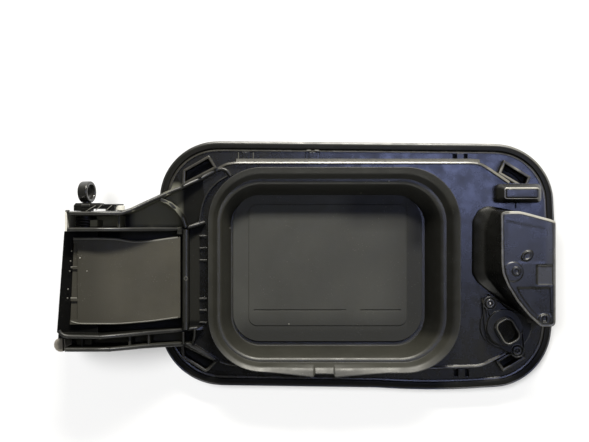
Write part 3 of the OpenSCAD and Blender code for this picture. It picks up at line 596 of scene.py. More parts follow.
# Latch cover
coverShape = {
    "centre": (97.0, 0.0),
    "plate": [(102.6, -34.5), (109.5, -34.5), (111.2, -32.8), (111.2, 26), (108.9, 27), (96.3, 30.4),
              (90.6, 31.8), (81.4, 31.8), (79.7, 30.4), (79.9, 2), (80.6, -4.2), (83.4, -11),
              (89, -20.2), (95.8, -28.4)],
    "foot": [(102.5, -32.6), (109.6, -33.4), (109.6, 27.4), (96.5, 31.4), (80.5, 34.6), (75.8, 35),
             (71, 32.8), (67.4, 26.5), (67.2, -5), (70, -10), (76, -15), (84, -21.8), (95, -28.4)],
    "around": 560,
    "top": 38.0,
    # share of the way from foot to plate, and height
    "wall": [(0.05, 14.65), (0.0, 14.65), (0.0, 15.6), (0.03, 16.2), (0.1, 16.7), (0.48, 18.0),
             (0.55, 18.6), (0.6, 20.2), (0.97, 35.4)],
    "rim": [(0.05, 36.3), (0.2, 36.95), (0.45, 37.25), (1.15, 37.65), (1.5, 37.9), (1.9, 38.0)],
    "edgeInset": 1.05, "edgeWidth": 1.9, "edgeHeight": 38.0, "edgeDrop": 0.7,
    "rings": 84,
    # round reliefs: middle, two half widths, turn, depth, and where its soft edge starts and ends
    "rounds": [
        (88.5, -2.6, 1, 1, 0, -0.95, 2.1, 2.8), (88.5, -2.6, 1, 1, 0, 0.7, 0.9, 1.5),
        (94.7, 6.2, 3.8, 2.7, 35, -0.85, 0.82, 1.06), (94.7, 6.2, 3.8, 2.7, 35, 0.45, 0.45, 0.75),
        (104.6, -30.6, 1, 1, 0, -0.8, 3.1, 3.8),
    ],
    "upperDepth": 0.08, "stepDepth": 0.5, "lowerDepth": 0.4, "padRise": 0.35, "slotDepth": 1.3,
}


def coverRelief(x, y, edge, shape):
    # Depth below the cover's top: shallow pockets with soft edges, a pad, bosses that stand up,
    # the drum and its slot at the lower end. edge is the distance in from the outline.
    topLimit = 27.2 - 0.2 * (x - 82)
    upper = step(x, 81.9, 83.9) * (1 - step(x, 103.9, 105.9)) * step(y, 1.4, 3.4)
    upper = upper * (1 - step(y, topLimit - 1.8, topLimit + 0.2))
    stepRight = step(x, 99.4, 101.2) * (1 - step(y, -0.2, 1.4)) * step(y, -11.0, -9.4)
    lower = step(edge, 3.6, 5.2) * (1 - step(y, -13.0, -11.4)) * step(y, -28.8, -27.0)
    pad = (1 - step(np.hypot(x - 86.8, y + 3.0), 5.2, 5.9)) * step(edge, 1.2, 2.0)
    slot = (1 - step(np.abs(x - 104.6), 0.9, 1.3)) * (1 - step(np.abs(y + 29.8), 1.4, 1.9))
    depth = (shape["upperDepth"] * upper + shape["stepDepth"] * stepRight + shape["lowerDepth"] * lower
             - shape["padRise"] * pad + shape["slotDepth"] * slot)
    for midX, midY, halfX, halfY, turn, deep, near, far in shape["rounds"]:
        c, s = math.cos(math.radians(turn)), math.sin(math.radians(turn))
        u, v = (x - midX) * c + (y - midY) * s, (y - midY) * c - (x - midX) * s
        depth = depth + deep * (1 - step(np.hypot(u / halfX, v / halfY), near, far))
    return depth


def plateLoop(shape):
    return evenLoop(shape["plate"], shape["around"], 20)


def makeCover(shape):
    # Rings climb from the foot's outline to the plate's, round over the edge, and shrink to one
    # point in the middle of the plate, whose heights come from the relief.
    centre = np.array(shape["centre"])
    plate = plateLoop(shape)
    dense = evenLoop(shape["foot"], 2000, 300)
    angle = np.unwrap(np.arctan2(*(plate - centre).T[::-1]))
    footAngle = np.arctan2(*(dense - centre).T[::-1])
    order = np.argsort(footAngle)
    reach = np.interp(angle, footAngle[order], np.hypot(*(dense - centre).T)[order], period=2 * math.pi)
    foot = centre + reach[:, None] * np.stack([np.cos(angle), np.sin(angle)], axis=-1)
    inward = leftOf(plate)
    rings = [levelRing(foot + (plate - foot) * share, height) for share, height in shape["wall"]]
    rings += [levelRing(plate + inward * inset, height) for inset, height in shape["rim"]]
    lastInset = shape["rim"][-1][0]
    start = plate + inward * lastInset
    across = np.linalg.norm(start - centre, axis=1)
    for k in range(1, shape["rings"]):
        share = 1 - k / shape["rings"]
        plan = centre + (start - centre) * share
        edge = lastInset + across * (1 - share)
        rings.append(levelRing(plan, shape["top"] - coverRelief(plan[:, 0], plan[:, 1], edge, shape)))
    part = closedStack(rings, (*centre, shape["wall"][0][1]), (*centre, shape["top"] - 0.2))
    putPiece("coverShell", part, "door", "cover_plastic", stands=["latch_cover"])


def makeCoverEdge(shape):
    # A fine bead a little way in from the plate's outline, pale as a painted highlight on the lit edge.
    plate = plateLoop(shape)
    bead = beadAlong(plate + leftOf(plate) * shape["edgeInset"], shape["edgeHeight"], shape["edgeWidth"],
                     shape["edgeDrop"], closed=True, lean=0.7)
    putPiece("coverEdge", bead, "door", "cover_plastic", "trim")


makeCover(coverShape)
makeCoverEdge(coverShape)
print("cover done")


# Stop block above the cover
bufferShape = {
    "base": (80.4, 36.9, 107.0, 47.9),
    "baseRadius": 2.6,
    "top": (85.4, 39.8, 104.0, 44.9),
    "topRadius": 0.8,
    # share of the way from the base's outline to the top's, and height
    "climb": [(0.3, 14.65), (0.0, 14.65), (0.0, 20.6), (0.02, 21.3), (0.08, 21.8), (0.88, 25.3),
              (0.96, 25.75), (1.06, 25.95), (1.2, 26.0)],
    "edgeShare": 0.88, "edgeHeight": 25.75, "edgeWidth": 1.1, "edgeDrop": 0.6,
    "corner": 10, "runs": (30, 16),
}


def makeBuffer(shape):
    # Two boxes with round corners, one above the other, joined by the climb's shares and heights,
    # and a fine bead where the slopes meet the top, pale as a painted highlight.
    base, top = [boxLoop(shape[key], shape[key + "Radius"], shape["corner"], shape["runs"])
                 for key in ("base", "top")]
    rings = [levelRing(base + (top - base) * share, height) for share, height in shape["climb"]]
    centre = top.mean(axis=0)
    part = closedStack(rings, (*centre, shape["climb"][0][1]), (*centre, shape["climb"][-1][1]))
    putPiece("stopBlock", part, "door", "cover_plastic", sharp=50, stands=["buffer_block"])
    bead = beadAlong(base + (top - base) * shape["edgeShare"], shape["edgeHeight"], shape["edgeWidth"],
                     shape["edgeDrop"], closed=True, lean=0.8)
    putPiece("stopBlockEdge", bead, "door", "cover_plastic", "trim")


makeBuffer(bufferShape)
print("stop block done")


# Eye on the hinge pin
eyeShape = {
    "centre": (-159.4, 43.0, 27.0),
    "turn": 72.0,
    "middle": 5.2, "halfThick": 1.1, "halfWide": 2.9,
    "around": 96, "section": 28, "neckAround": 40,
    "neck": [(0.0, 36.5), (2.6, 36.5), (2.6, 36.8), (2.4, 37.3), (2.2, 37.9), (2.2, 38.4), (0.0, 38.4)],
}


def makeEye(shape):
    # The band's section is a rounded oblong (powers of sine and cosine) carried round a circle
    # that stands on the hub; the neck is a profile turned about the hinge line.
    c, s = math.cos(math.radians(shape["turn"])), math.sin(math.radians(shape["turn"]))
    around, section, count = shape["around"], shape["section"], shape["neckAround"]
    a = np.linspace(0, 2 * math.pi, around, endpoint=False)[:, None]
    b = np.linspace(0, 2 * math.pi, section, endpoint=False)[None]
    radius = shape["middle"] + shape["halfThick"] * signedPower(np.cos(b), 0.4)
    width = shape["halfWide"] * signedPower(np.sin(b), 0.35)
    centre = np.array(shape["centre"])
    out = np.cos(a)[..., None] * (0, 1, 0) + np.sin(a)[..., None] * (-c, 0, s)
    ring = (centre + radius[..., None] * out + width[..., None] * (s, 0, c)).reshape(-1, 3)
    neck = cutCorners(shape["neck"], 1, closed=False)
    turn = np.linspace(0, 2 * math.pi, count, endpoint=False)
    spin = np.stack([centre[0] + neck[:, :1] * np.cos(turn), np.repeat(neck[:, 1:], count, axis=1),
                     centre[2] + neck[:, :1] * np.sin(turn)], axis=-1).reshape(-1, 3)
    faces = gridFaces(around, section, wrapRows=True) + gridFaces(len(neck), count, start=len(ring))
    part = np.vstack([ring, spin]), faces
    putPiece("pullEye", part, "lever", "ring_plastic", sharp=50, stands=["pull_ring"])


makeEye(eyeShape)
print("eye done")


# Torsion spring
springShape = {
    "axis": (-160.0, 27.0), "from": 23.6, "to": 28.4, "radius": 5.1, "wire": 0.75, "turns": 3,
}


def makeSpring(shape):
    # A round wire carried along a helix about the hinge line, its two ends closed to a point.
    steps, sides = 60 * shape["turns"], 12
    k = np.linspace(0, 1, steps + 1)[:, None]
    a = 2 * math.pi * shape["turns"] * k
    out = np.concatenate([np.cos(a), np.zeros_like(a), np.sin(a)], axis=1)
    path = np.array([shape["axis"][0], 0, shape["axis"][1]]) + shape["radius"] * out
    path[:, 1] = (shape["from"] + (shape["to"] - shape["from"]) * k)[:, 0]
    b = np.linspace(0, 2 * math.pi, sides, endpoint=False)[None, :, None]
    thick = np.full(steps + 1, shape["wire"])
    thick[[0, -1]] = 0.02
    tube = path[:, None] + thick[:, None, None] * (np.cos(b) * out[:, None] + np.sin(b) * (0, 1, 0))
    part = tube.reshape(-1, 3), openFaces(steps + 1, sides)
    putPiece("springCoil", part, "door", "dark_steel", stands=["hinge_spring"])


makeSpring(springShape)
print("spring done")


# Pieces that keep their solid's shape and get rounded edges: node, body, edge in mm
copies = {
    "bootFloor": ("floor_plate", "door", 0.2),
    "receiverFlange": ("receiver_base", "door", 0.35),
    "receiverBody": ("latch_receiver", "door", 0.35),
    "socketCollar": ("receiver_collar", "door", 0.25),
    "pinShaft": ("hinge_pin", "lever", 0.3),
    "hubBlock": ("hinge_block", "lever", 0.3),
    "leverBar": ("lever_arm", "lever", 0.2),
    "rollerAxle": ("roller_axle", "lever", 0.15),
    "nylonRoller": ("stop_roller", "roller", 0.35),
    "channelEnd": ("channel_cap", "door", 0.3),
    "cornerBumper": ("arm_bumper", "door", 0.8),
    "skinClips": ("edge_clips", "door", 0.2),
}
duller = ("hubBlock", "leverBar")
for name, (node, body, width) in copies.items():
    look = "trench" if name in duller else slotOf[node]
    roundedCopy(node, name, body, look, width, copyEdges)
print("rounded copies:", len(copies))


# Carrier: a merged copy of its solid with lowered wall tops, and rounded bars on the walls
carrierShape = {
    "railTop": 44.0, "ribTop": 17.0, "railWidth": 2.34, "railDrop": 1.15,
    "deckTop": 14.6, "pocketTop": 14.0, "ridgeTop": 9.4,
    "rails": [
        [(-167.2, 30.4), (-137.5, 30.4), (-131.5, 32.6), (-124.4, 36.4), (-112.9, 42.2),
         (-104.2, 46.2), (-93.7, 51.4), (-84.5, 56.6), (-81, 57.2), (-78, 55.6), (-76.4, 52.8)],
        [(-167.2, 21.3), (-106, 21.3), (-100.4, 22.6), (-91.5, 25.4)],
        [(-172.0, -36.0), (-171.3, -37.6), (-169.5, -38.9), (-166.5, -39.5), (-148.9, -39.8),
         (-126, -38.6), (-103.5, -38), (-92.4, -37)],
        [(-168.5, -46.9), (-143, -46.9), (-126, -46.2), (-108, -46.3), (-100.4, -46.6), (-84, -57)],
    ],
    # line, width and depth of the rounding
    "webs": [
        ([(-116.1, 38.6), (-111.6, 36.6), (-107.4, 33), (-104, 28.4), (-102, 22.4)], 1.84, 0.8),
        ([(-102.1, -37.6), (-102.1, 21)], 3.04, 0.8),
        ([(-98.2, -45.8), (-97, -42), (-96.8, -38)], 1.14, 0.5),
        ([(-139.05, 22), (-139.05, 30)], 1.14, 0.5),
        ([(-160.25, -46), (-160.25, -39)], 1.14, 0.5), ([(-133.05, -46), (-133.05, -39)], 1.14, 0.5),
        ([(-122.75, -46), (-122.75, -39)], 1.14, 0.5), ([(-103.45, -46), (-103.45, -39)], 1.14, 0.5),
    ],
    "deckRibs": [
        [(89.1, 48.9), (74.6, 58.75), (71.5, 60.15), (67, 60.65), (-73.1, 60.65), (-79, 59.85),
         (-84.5, 56.85)],
        [(-82.6, -57.05), (-78.5, -58.55), (-73.7, -59.25), (38.4, -60.95), (70.4, -59.95),
         (74.6, -58.75), (86.6, -52.3)],
    ],
    "ribWidth": 1.54, "ribDrop": 0.75,
    # sloping shoulder on the outer side of the upper rib
    "shoulder": [(0.6, 16.4), (1.2, 16.0), (2.2, 15.35), (2.5, 15.0), (2.6, 14.7), (2.6, 14.3), (0.6, 14.3)],
    "thinRib": [(-78.2, 52.6), (-83.5, 49.6), (-88.3, 45), (-91.6, 39.6), (-93.6, 33), (-94.7, 25)],
    "pockets": [
        [(-105.4, 46.8), (-84.6, 57.6), (-89.4, 65.4), (-104.9, 56.5)],
        [(83, 54.2), (99.5, 44.6), (102.6, 52.4), (86.5, 62.5)],
        [(-106, -46), (-105.4, -55), (-91.7, -63.9), (-89.4, -62.9), (-84, -57)],
        [(81.7, -57.3), (85.9, -63.9), (99.6, -55.6), (94.5, -49.6)],
    ],
    "pocketWall": 1.6, "pocketDrop": 0.6, "webDrop": 0.5,
    # height over the deck, width and depth of the low ribs in the gap beside the boot
    "thinRibRise": 4, "thinRibWidth": 0.96, "lowDrop": 0.45,
    "gapRibs": (17.2, 10, 2.8, -20, -27, -34.2), "gapRibEnds": (-94.8, -90.4),
    "gapRibRise": 1.6, "gapRibWidth": 1.04,
    "ridgeInset": 5.25, "ridgeWidth": 1.6, "ridgeDrop": 0.6,
    "hemInset": 0.85, "hemWidth": 1.5, "hemTop": 9.95, "hemDrop": 0.7,
    "panel": (-167.4, -105.3, -33.6, 16.6),
    "panelSlack": 0.4, "panelDepth": 2.4, "armEnd": -95.0, "armHalf": 51,
    "near": 0.04,  # of a wall's top, for a point that belongs to it
    "capHead": [(-168.2, 31.0), (-165.9, 31.0)], "capHeadWidth": 2.8,
    # line and width of the thin edges a little way in from the panel's outline
    "panelEdges": [
        ([(-165.6, 15.9), (-152, 16.0), (-140, 15.6), (-133.2, 13.75), (-121.6, 14.3),
          (-106.6, 16.3)], 1.5),
        ([(-167.0, -31.6), (-165.6, -32.9), (-140, -33.4), (-121.6, -32.2), (-106.6, -30.2)], 1.3),
    ],
}


def railHeight(x):
    high, low = carrierShape["railTop"], carrierShape["ribTop"]
    return high - (high - low) * step(x, -152, -84)


def webHeight(x):
    return 37 - 12 * step(x, -140, -98)


def panelHeight(x):
    return 35 - 10 * step(x, -165, -104)


def insideOf(points, outline):
    # True where a point lies on the same side of every edge of a convex outline.
    corner = np.asarray(outline, float)
    run = np.roll(corner, -1, axis=0) - corner
    away = points[:, None] - corner[None]
    side = run[None, :, 0] * away[..., 1] - run[None, :, 1] * away[..., 0]
    return np.all(side > 0, axis=1) | np.all(side < 0, axis=1)


def readVectors(items, key):
    values = np.empty(len(items) * 3)
    items.foreach_get(key, values)
    return values.reshape(-1, 3)


def makeCarrierBody(shape):
    # The solid's own copy: where a point lies on the top of a rail, rib, web or rim, it sinks by
    # the depth of that bar's rounding, and the bar's crown then comes up to the same height.
    mesh = mergedCopy("carrier_frame", "carrierBody")
    place = readVectors(mesh.vertices, "co") / mm
    x, _, z = place.T
    deck, low = shape["deckTop"], shape["lowDrop"]
    levels = [(railHeight(x), shape["railDrop"]), (shape["ribTop"], shape["ribDrop"]),
              (webHeight(x), shape["webDrop"]), (deck + shape["thinRibRise"], low),
              (deck + shape["gapRibRise"], low), (shape["pocketTop"], shape["pocketDrop"]),
              (shape["ridgeTop"], shape["ridgeDrop"])]
    sink = np.zeros(len(place))
    for level, depth in levels:
        sink = np.where((np.abs(z - level) < shape["near"]) & (sink == 0), depth, sink)
    place[:, 2] -= sink
    mesh.vertices.foreach_set("co", (place * mm).ravel())
    shadeMesh(mesh, 28, *[finishes[look] for look in ("carrier_plastic", "panel", "trench")])
    centre = readVectors(mesh.polygons, "center") / mm
    upright = readVectors(mesh.polygons, "normal")[:, 2] > 0.5
    x, y, z = centre.T
    x0, x1, y0, y1 = shape["panel"]
    slack = shape["panelSlack"]
    onPanel = (x > x0) & (x < x1) & (y > y0 - slack) & (y < y1 + slack)
    onPanel &= (z > panelHeight(x) - shape["panelDepth"]) & upright
    inArm = (x < shape["armEnd"]) & (np.abs(y) < shape["armHalf"]) & ~onPanel
    for outline in shape["pockets"]:
        inArm |= insideOf(centre[:, :2], outline) & (z < shape["pocketTop"] - 0.8)
    mesh.polygons.foreach_set("material_index", (onPanel + 2 * inArm).astype(np.int32))
    mesh.update()
    hangPiece(mesh, "door", ["carrier_frame"])


def makeBars(shape):
    parts = [barAlong(line, railHeight, shape["railWidth"], shape["railDrop"], passes=12)
             for line in shape["rails"]]
    parts.append(barAlong(shape["capHead"], shape["railTop"], shape["capHeadWidth"], shape["railDrop"]))
    parts += [barAlong(line, webHeight, width, drop, passes=8) for line, width, drop in shape["webs"]]
    deck, low = shape["deckTop"], shape["lowDrop"]
    parts.append(barAlong(shape["thinRib"], deck + shape["thinRibRise"], shape["thinRibWidth"], low,
                          passes=12))
    for y in shape["gapRibs"]:
        line = [(x, y) for x in shape["gapRibEnds"]]
        parts.append(barAlong(line, deck + shape["gapRibRise"], shape["gapRibWidth"], low))
    putPiece("carrierRails", gather(parts), "door", "carrier_plastic", "rails")


def makeRims(shape):
    # The deck's ribs lean; the corner pockets' rims run half a wall inside their outlines; the
    # fine ridge and the hem's line, pale as a painted highlight, follow the door's outline.
    parts = [barAlong(line, shape["ribTop"], shape["ribWidth"], shape["ribDrop"], passes=12, lean=0.92)
             for line in shape["deckRibs"]]
    parts.append(sectionAlong(evenPath(shape["deckRibs"][0][2:5], 0.5, 12), shape["shoulder"]))
    for outline in shape["pockets"]:
        loop = evenLoop(outline, 220, 4)
        area = np.sum(loop[:, 0] * np.roll(loop[:, 1], -1) - np.roll(loop[:, 0], -1) * loop[:, 1])
        inward = leftOf(loop) * np.sign(area)
        parts.append(beadAlong(loop + inward * shape["pocketWall"] / 2, shape["pocketTop"],
                               shape["pocketWall"] + 0.04, shape["pocketDrop"], closed=True))
    loop = doorLoop(skinShape)
    ridge, hem = [beadAlong(loop + leftOf(loop) * shape[key + "Inset"], shape[key + "Top"],
                            shape[key + "Width"], shape[key + "Drop"], closed=True, sections=9, lean=lean)
                  for key, lean in (("ridge", 0.75), ("hem", 0.9))]
    putPiece("hemLine", hem, "door", "skin_paint", "hem")
    putPiece("carrierRims", gather([*parts, ridge]), "door", "carrier_plastic", "ribs")


def makePanelEdges(shape):
    # The thin edges are pale: a painted highlight along the panel's edges.
    parts = [barAlong(line, lambda x: panelHeight(x) + 0.25, width, 1.0, passes=60)
             for line, width in shape["panelEdges"]]
    putPiece("panelEdges", gather(parts), "door", "carrier_plastic", "panelEdge")


makeCarrierBody(carrierShape)
makeBars(carrierShape)
makeRims(carrierShape)
makePanelEdges(carrierShape)
print("carrier done")


# Latch receiver's fine edges, its socket's rim and floor, and the two ear screws
receiverShape = {
    "socketAt": (86.9, -38.6), "turn": -60.0, "half": (6.95, 5.05), "corner": 3.65,
    "rimTop": 24.35, "rimWidth": 0.95, "rimDrop": 0.55,
    "floorHalf": (6.4, 4.5), "floorCorner": 3.1, "floorTop": 14.95, "floorBase": 14.6, "netRise": 0.2,
    "base": (86.0, -36.0), "baseRadius": 13.8, "lobeRadius": 16.0,
    "ears": [(77.35, -22.65), (93.45, -50.55)],
    # line, height, width: fine raised edges
    "edges": [
        ([(73.3, -23.6), (73.8, -30), (74.6, -38.5)], 18.5, 0.6),
        ([(74.9, -41.3), (76.7, -45.0), (80.2, -47.4), (83.2, -48.4)], 18.5, 0.6),
        ([(78.9, -27.5), (82.6, -26.6)], 21.3, 0.6),
        ([(76.9, -36.6), (77.8, -38.4)], 21.3, 0.7),
    ],
    "nubs": [(79.2, -36.4, 23.8, 0.6), (94.6, -39.4, 23.8, 0.6)],
    # angles of an arc; height, width and depth of the bead on it
    "leftArc": (150, 236, 60), "leftBead": (16.3, 0.5, 0.3),
    "rightArc": (-44, -10, 40), "rightBead": (16.35, 0.9, 0.4),
    "earRadius": 3.75, "earBead": (18.6, 0.9, 0.45),
    # radius and height, from the axis outwards and down
    "screw": [(0.0, 19.0), (0.55, 18.95), (0.75, 18.6), (1.35, 18.45), (1.55, 19.45), (1.9, 19.6),
              (2.5, 19.45), (2.9, 18.9), (2.9, 17.6), (1.5, 17.6), (1.5, 9.0), (0.0, 9.0)],
    "lowerScrewSink": 0.6,
    "tip": [(0.0, 19.5), (0.5, 19.4), (0.8, 19.1), (0.85, 18.5), (0.0, 18.5)],
}


def lathe(profile, at, count=36):
    # A profile of radius and height, from the axis back to the axis, turned about a vertical line.
    turn = np.linspace(0, 2 * math.pi, count, endpoint=False)
    circle = np.stack([np.cos(turn), np.sin(turn)], axis=-1)
    rings = [levelRing(at + radius * circle, height) for radius, height in profile[1:-1]]
    return closedStack(rings, (*at, profile[0][1]), (*at, profile[-1][1]))


def turnedBox(half, corner, at, turn):
    # The outline of a box with round corners, turned about its middle and moved.
    x, y = boxLoop((-half[0], -half[1], half[0], half[1]), corner, 14, (24, 16)).T
    c, s = math.cos(math.radians(turn)), math.sin(math.radians(turn))
    return np.stack([at[0] + c * x - s * y, at[1] + s * x + c * y], axis=-1)


def makeReceiverTrim(shape):
    parts = [barAlong(line, height, width, 0.4, 0.3, 8) for line, height, width in shape["edges"]]
    left = arcPoints(*shape["base"], shape["baseRadius"], *shape["leftArc"])
    parts.append(beadAlong(left, *shape["leftBead"]))
    for centre in shape["ears"]:
        ring = arcPoints(*centre, shape["earRadius"], 0, 360, 73)[:-1]
        parts.append(beadAlong(ring, *shape["earBead"], closed=True))
    for x, y, z, radius in shape["nubs"]:
        profile = [(0, z + radius), (radius * 0.6, z + radius * 0.8), (radius, z), (0, z - 0.4)]
        parts.append(lathe(profile, (x, y), 16))
    putPiece("receiverEdges", gather(parts), "door", "receiver_plastic", "rails")


def makeSocket(shape):
    # The socket's rim is a bead round its outline, pale as a painted highlight, as is the bead on the lobe's
    # right arc; its floor is a shallow dish with a fine net.
    rim = turnedBox(shape["half"], shape["corner"], shape["socketAt"], shape["turn"])
    right = arcPoints(*shape["base"], shape["lobeRadius"], *shape["rightArc"])
    parts = [beadAlong(rim, shape["rimTop"], shape["rimWidth"], shape["rimDrop"], closed=True),
             beadAlong(right, *shape["rightBead"])]
    putPiece("socketRim", gather(parts), "door", "receiver_plastic", "trim")
    edge = turnedBox(shape["floorHalf"], shape["floorCorner"], shape["socketAt"], shape["turn"])
    centre = np.array(shape["socketAt"])
    rings = [levelRing(edge, shape["floorBase"])]
    for share in np.linspace(1, 0.04, 26):
        plan = centre + (edge - centre) * share
        net = np.prod(np.cos(plan * 5.0), axis=1) * (1 - step(share, 0.85, 1.0))
        rings.append(levelRing(plan, shape["floorTop"] + shape["netRise"] * (net - 1)))
    part = closedStack(rings, (*centre, shape["floorBase"]), (*centre, shape["floorTop"] - 0.1))
    putPiece("socketFloor", part, "door", "receiver_plastic", "socketDark")


def makeEarScrews(shape):
    upper, lower = shape["ears"]
    putPiece("earScrewUpper", lathe(shape["screw"], upper), "door", "bright_steel", "dark_steel",
             sharp=50, stands=["receiver_screw_upper"])
    sunk = [(radius, height - shape["lowerScrewSink"]) for radius, height in shape["screw"]]
    putPiece("earScrewLower", lathe(sunk, lower), "door", "dark_steel", sharp=50,
             stands=["receiver_screw_lower"])
    putPiece("screwTip", lathe(shape["tip"], upper, 20), "door", "bright_steel")


makeReceiverTrim(receiverShape)
makeSocket(receiverShape)
makeEarScrews(receiverShape)
print("receiver done")


# Small things: lines on the hub and lever that are pale as painted highlights, clip plates, a moulding pin's
# mark, dust
smallShape = {
    # two ends with their heights, and width: raised lines on the hub and the lever, pale as painted
    # highlights
    "hubLines": [((-158.6, 31.7, 33.9), (-152.9, 35.0, 34.2), 0.5),
                 ((-152.9, 32.2, 34.2), (-149.5, 35.4, 34.2), 0.5),
                 ((-147.3, 32.2, 32.6), (-143.9, 35.3, 31.6), 0.45)],
    "clipPlates": [(-27.6, 65), (-67.5, 65.2)],
    "plateHalf": (4.35, 2.1), "plateTop": 8.42,
    # x range, middle, height and width of the thin bars between the ledge's cells
    "ledgeBars": [(-167.2, -163.6, -18.4, 34.9, 1.2), (-167.2, -163.6, -0.6, 34.9, 1.2)],
    "windowLines": [(-72.1, 63.2, 67.4), (-63.2, 63.2, 67.4)],
    # height, width and depth of the beads on these lines, the tab and the pin's mark
    "windowBead": (8.75, 0.6, 0.35), "tabBead": (9.6, 1.2, 0.5), "markRise": 0.2, "markBead": (0.45, 0.4),
    # ends and width of the dark slot between the stop block and the cover
    "slotLine": ((93.2, 33.6), (93.2, 37.6), 0.9),
    # the foot of the eye's neck on the hub: two ends, height and width
    "neckFoot": ((-161.1, 34.9), (-156.4, 34.9), 34.4, 1.9),
    "tab": [(-31.2, 68.4), (-28.6, 68.4), (-26.4, 68.4), (-23.6, 68.4)],
    "pinMark": (-101.9, -7.6, 1.0),
    "specks": [(80, 258, 0.42), (87, 271, 0.3), (389, 181, 0.32), (361, 193, 0.3), (289, 324, 0.3),
               (230, 228, 0.3), (548, 296, 0.3)],
    "nub": (34.6, 0.55),  # height and radius
    "nubPixels": [(72.6, 251), (71.4, 261), (70.6, 271), (69.0, 289), (68.4, 298)],
}


def spotUnder(u, v, names):
    # The point of the named pieces that a pixel of the view shows: the pixel's line is followed
    # down to the height that a ray from above finds there.
    setup = cameraSetup
    (midX, midY), (midU, midV), depth = setup["centre"], setup["middlePixel"], setup["height"]
    high = 20.0
    for _ in range(4):
        scale = setup["pixelSize"] * (depth - high) / (depth - setup["sizedAt"])
        x, y = midX + (u - midU) * scale, midY - (v - midV) * scale
        start, tops = Vector((x * mm, y * mm, 0.2)), [0.0]
        for name in names:
            hit, place, _, _ = bpy.data.objects[name].ray_cast(start, Vector((0, 0, -1)))
            if hit:
                tops.append(place.z / mm)
        high = max(tops)
    return x, y, high


def dome(x, y, z, radius):
    profile = [(0, z + radius * 0.7), (radius * 0.7, z + radius * 0.45), (radius, z - 0.1), (0, z - 0.15)]
    return lathe(profile, (x, y), 14)


def makeHubThings(shape):
    lines = [barAlong([start[:2], end[:2]], (start[2] + 0.1, end[2] + 0.1), width, 0.35, 0.3)
             for start, end, width in shape["hubLines"]]
    putPiece("hubLines", gather(lines), "lever", "receiver_plastic", "trim")
    start, end, height, width = shape["neckFoot"]
    putPiece("neckFoot", barAlong([start, end], height, width, 0.6, 0.3), "lever", "ring_plastic")


def makeDeckThings(shape):
    half, top = shape["plateHalf"], shape["plateTop"]
    section = [(-half[1], top - 0.3), (half[1], top - 0.3), (half[1], top), (-half[1], top)]
    plates = [sectionAlong([(x - half[0], y), (x, y), (x + half[0], y)], section)
              for x, y in shape["clipPlates"]]
    putPiece("clipPlates", gather(plates), "door", "carrier_plastic", sharp=30)
    start, end, width = shape["slotLine"]
    slot = barAlong([start, end], carrierShape["deckTop"] + 0.2, width, 0.3, 0.3)
    putPiece("deckSlot", slot, "door", "carrier_plastic", "trench")


def makeMarks(shape):
    # The marks, bars and nubs are pale: painted highlights on their lit edges.
    marks = [barAlong([(x, y0), (x, y1)], *shape["windowBead"], 0.4) for x, y0, y1 in shape["windowLines"]]
    marks += [barAlong(ends, *shape["tabBead"], 0.4) for ends in (shape["tab"][:2], shape["tab"][2:])]
    x, y, radius = shape["pinMark"]
    ring = arcPoints(x, y, radius, 0, 360, 25)[:-1]
    marks.append(beadAlong(ring, webHeight(x) + shape["markRise"], *shape["markBead"], closed=True))
    marks += [barAlong([(x0, y), (x1, y)], height, width, 0.6)
              for x0, x1, y, height, width in shape["ledgeBars"]]
    for u, v in shape["nubPixels"]:
        x, y, _ = spotUnder(u, v, ["carrierBody"])
        marks.append(dome(x, y, *shape["nub"]))
    putPiece("carrierMarks", gather(marks), "door", "carrier_plastic", "panelEdge")


def makeDust(shape):
    under = ["carrierBody", "rubberBoot", "bootFloor", "coverShell", "skinShell"]
    specks = [dome(*spotUnder(u, v, under), radius) for u, v, radius in shape["specks"]]
    putPiece("dustSpecks", gather(specks), "door", "carrier_plastic", "paleDust")


bpy.context.view_layer.update()
makeHubThings(smallShape)
makeDeckThings(smallShape)
makeMarks(smallShape)
makeDust(smallShape)
print("small things done")


# Soft studio light: one key strip behind the door, and cards that only show in glossy faces
lights = {
    "keyStrip": {"at": (0.1, 1.05, 0.79), "size": (0.5, 0.14), "radiance": 112.0,
                 "color": (1.0, 0.965, 0.87)},
    "windowCard": {"at": (0.175, 0.097, 0.65), "size": (0.33, 0.156), "radiance": 2.15,
                   "color": (0.46, 0.54, 1.0), "target": (0.175, 0.097, 0.0), "glossOnly": True,
                   "spread": 100.0},
    "lowerCard": {"at": (0.2, -0.13, 0.65), "size": (0.3, 0.16), "radiance": 0.4,
                  "color": (1.0, 0.98, 0.93), "target": (0.2, -0.13, 0.0), "glossOnly": True},
    "upperCard": {"at": (-0.08, 0.125, 0.65), "size": (0.17, 0.08), "radiance": 1.1,
                  "color": (1.0, 0.98, 0.95), "target": (-0.08, 0.125, 0.0), "glossOnly": True},
    "frontCard": {"at": (0.0, -1.0, 0.75), "size": (1.2, 0.4), "radiance": 2.4,
                  "color": (1.0, 0.99, 0.93), "glossOnly": True},
    "topFill": {"at": (-0.03, 0.03, 1.1), "size": (0.3, 0.3), "radiance": 2.4,
                "color": (1.0, 0.99, 0.93), "target": (-0.03, 0.03, 0.0), "matteOnly": True},
}


def areaLight(name, setup):
    data = bpy.data.lights.new(name, "AREA")
    data.shape = "RECTANGLE"
    data.size, data.size_y = setup["size"]
    data.energy = setup["radiance"] * math.pi * data.size * data.size_y
    data.color = setup["color"]
    data.spread = math.radians(setup.get("spread", 180.0))
    light = linkNew(name, data)
    light.location = setup["at"]
    aim = Vector(setup.get("target", (0, 0, 0.02))) - Vector(setup["at"])
    light.rotation_euler = aim.to_track_quat("-Z", "Y").to_euler()
    light.visible_diffuse = not setup.get("glossOnly", False)
    light.visible_glossy = not setup.get("matteOnly", False)


for name, setup in lights.items():
    areaLight(name, setup)

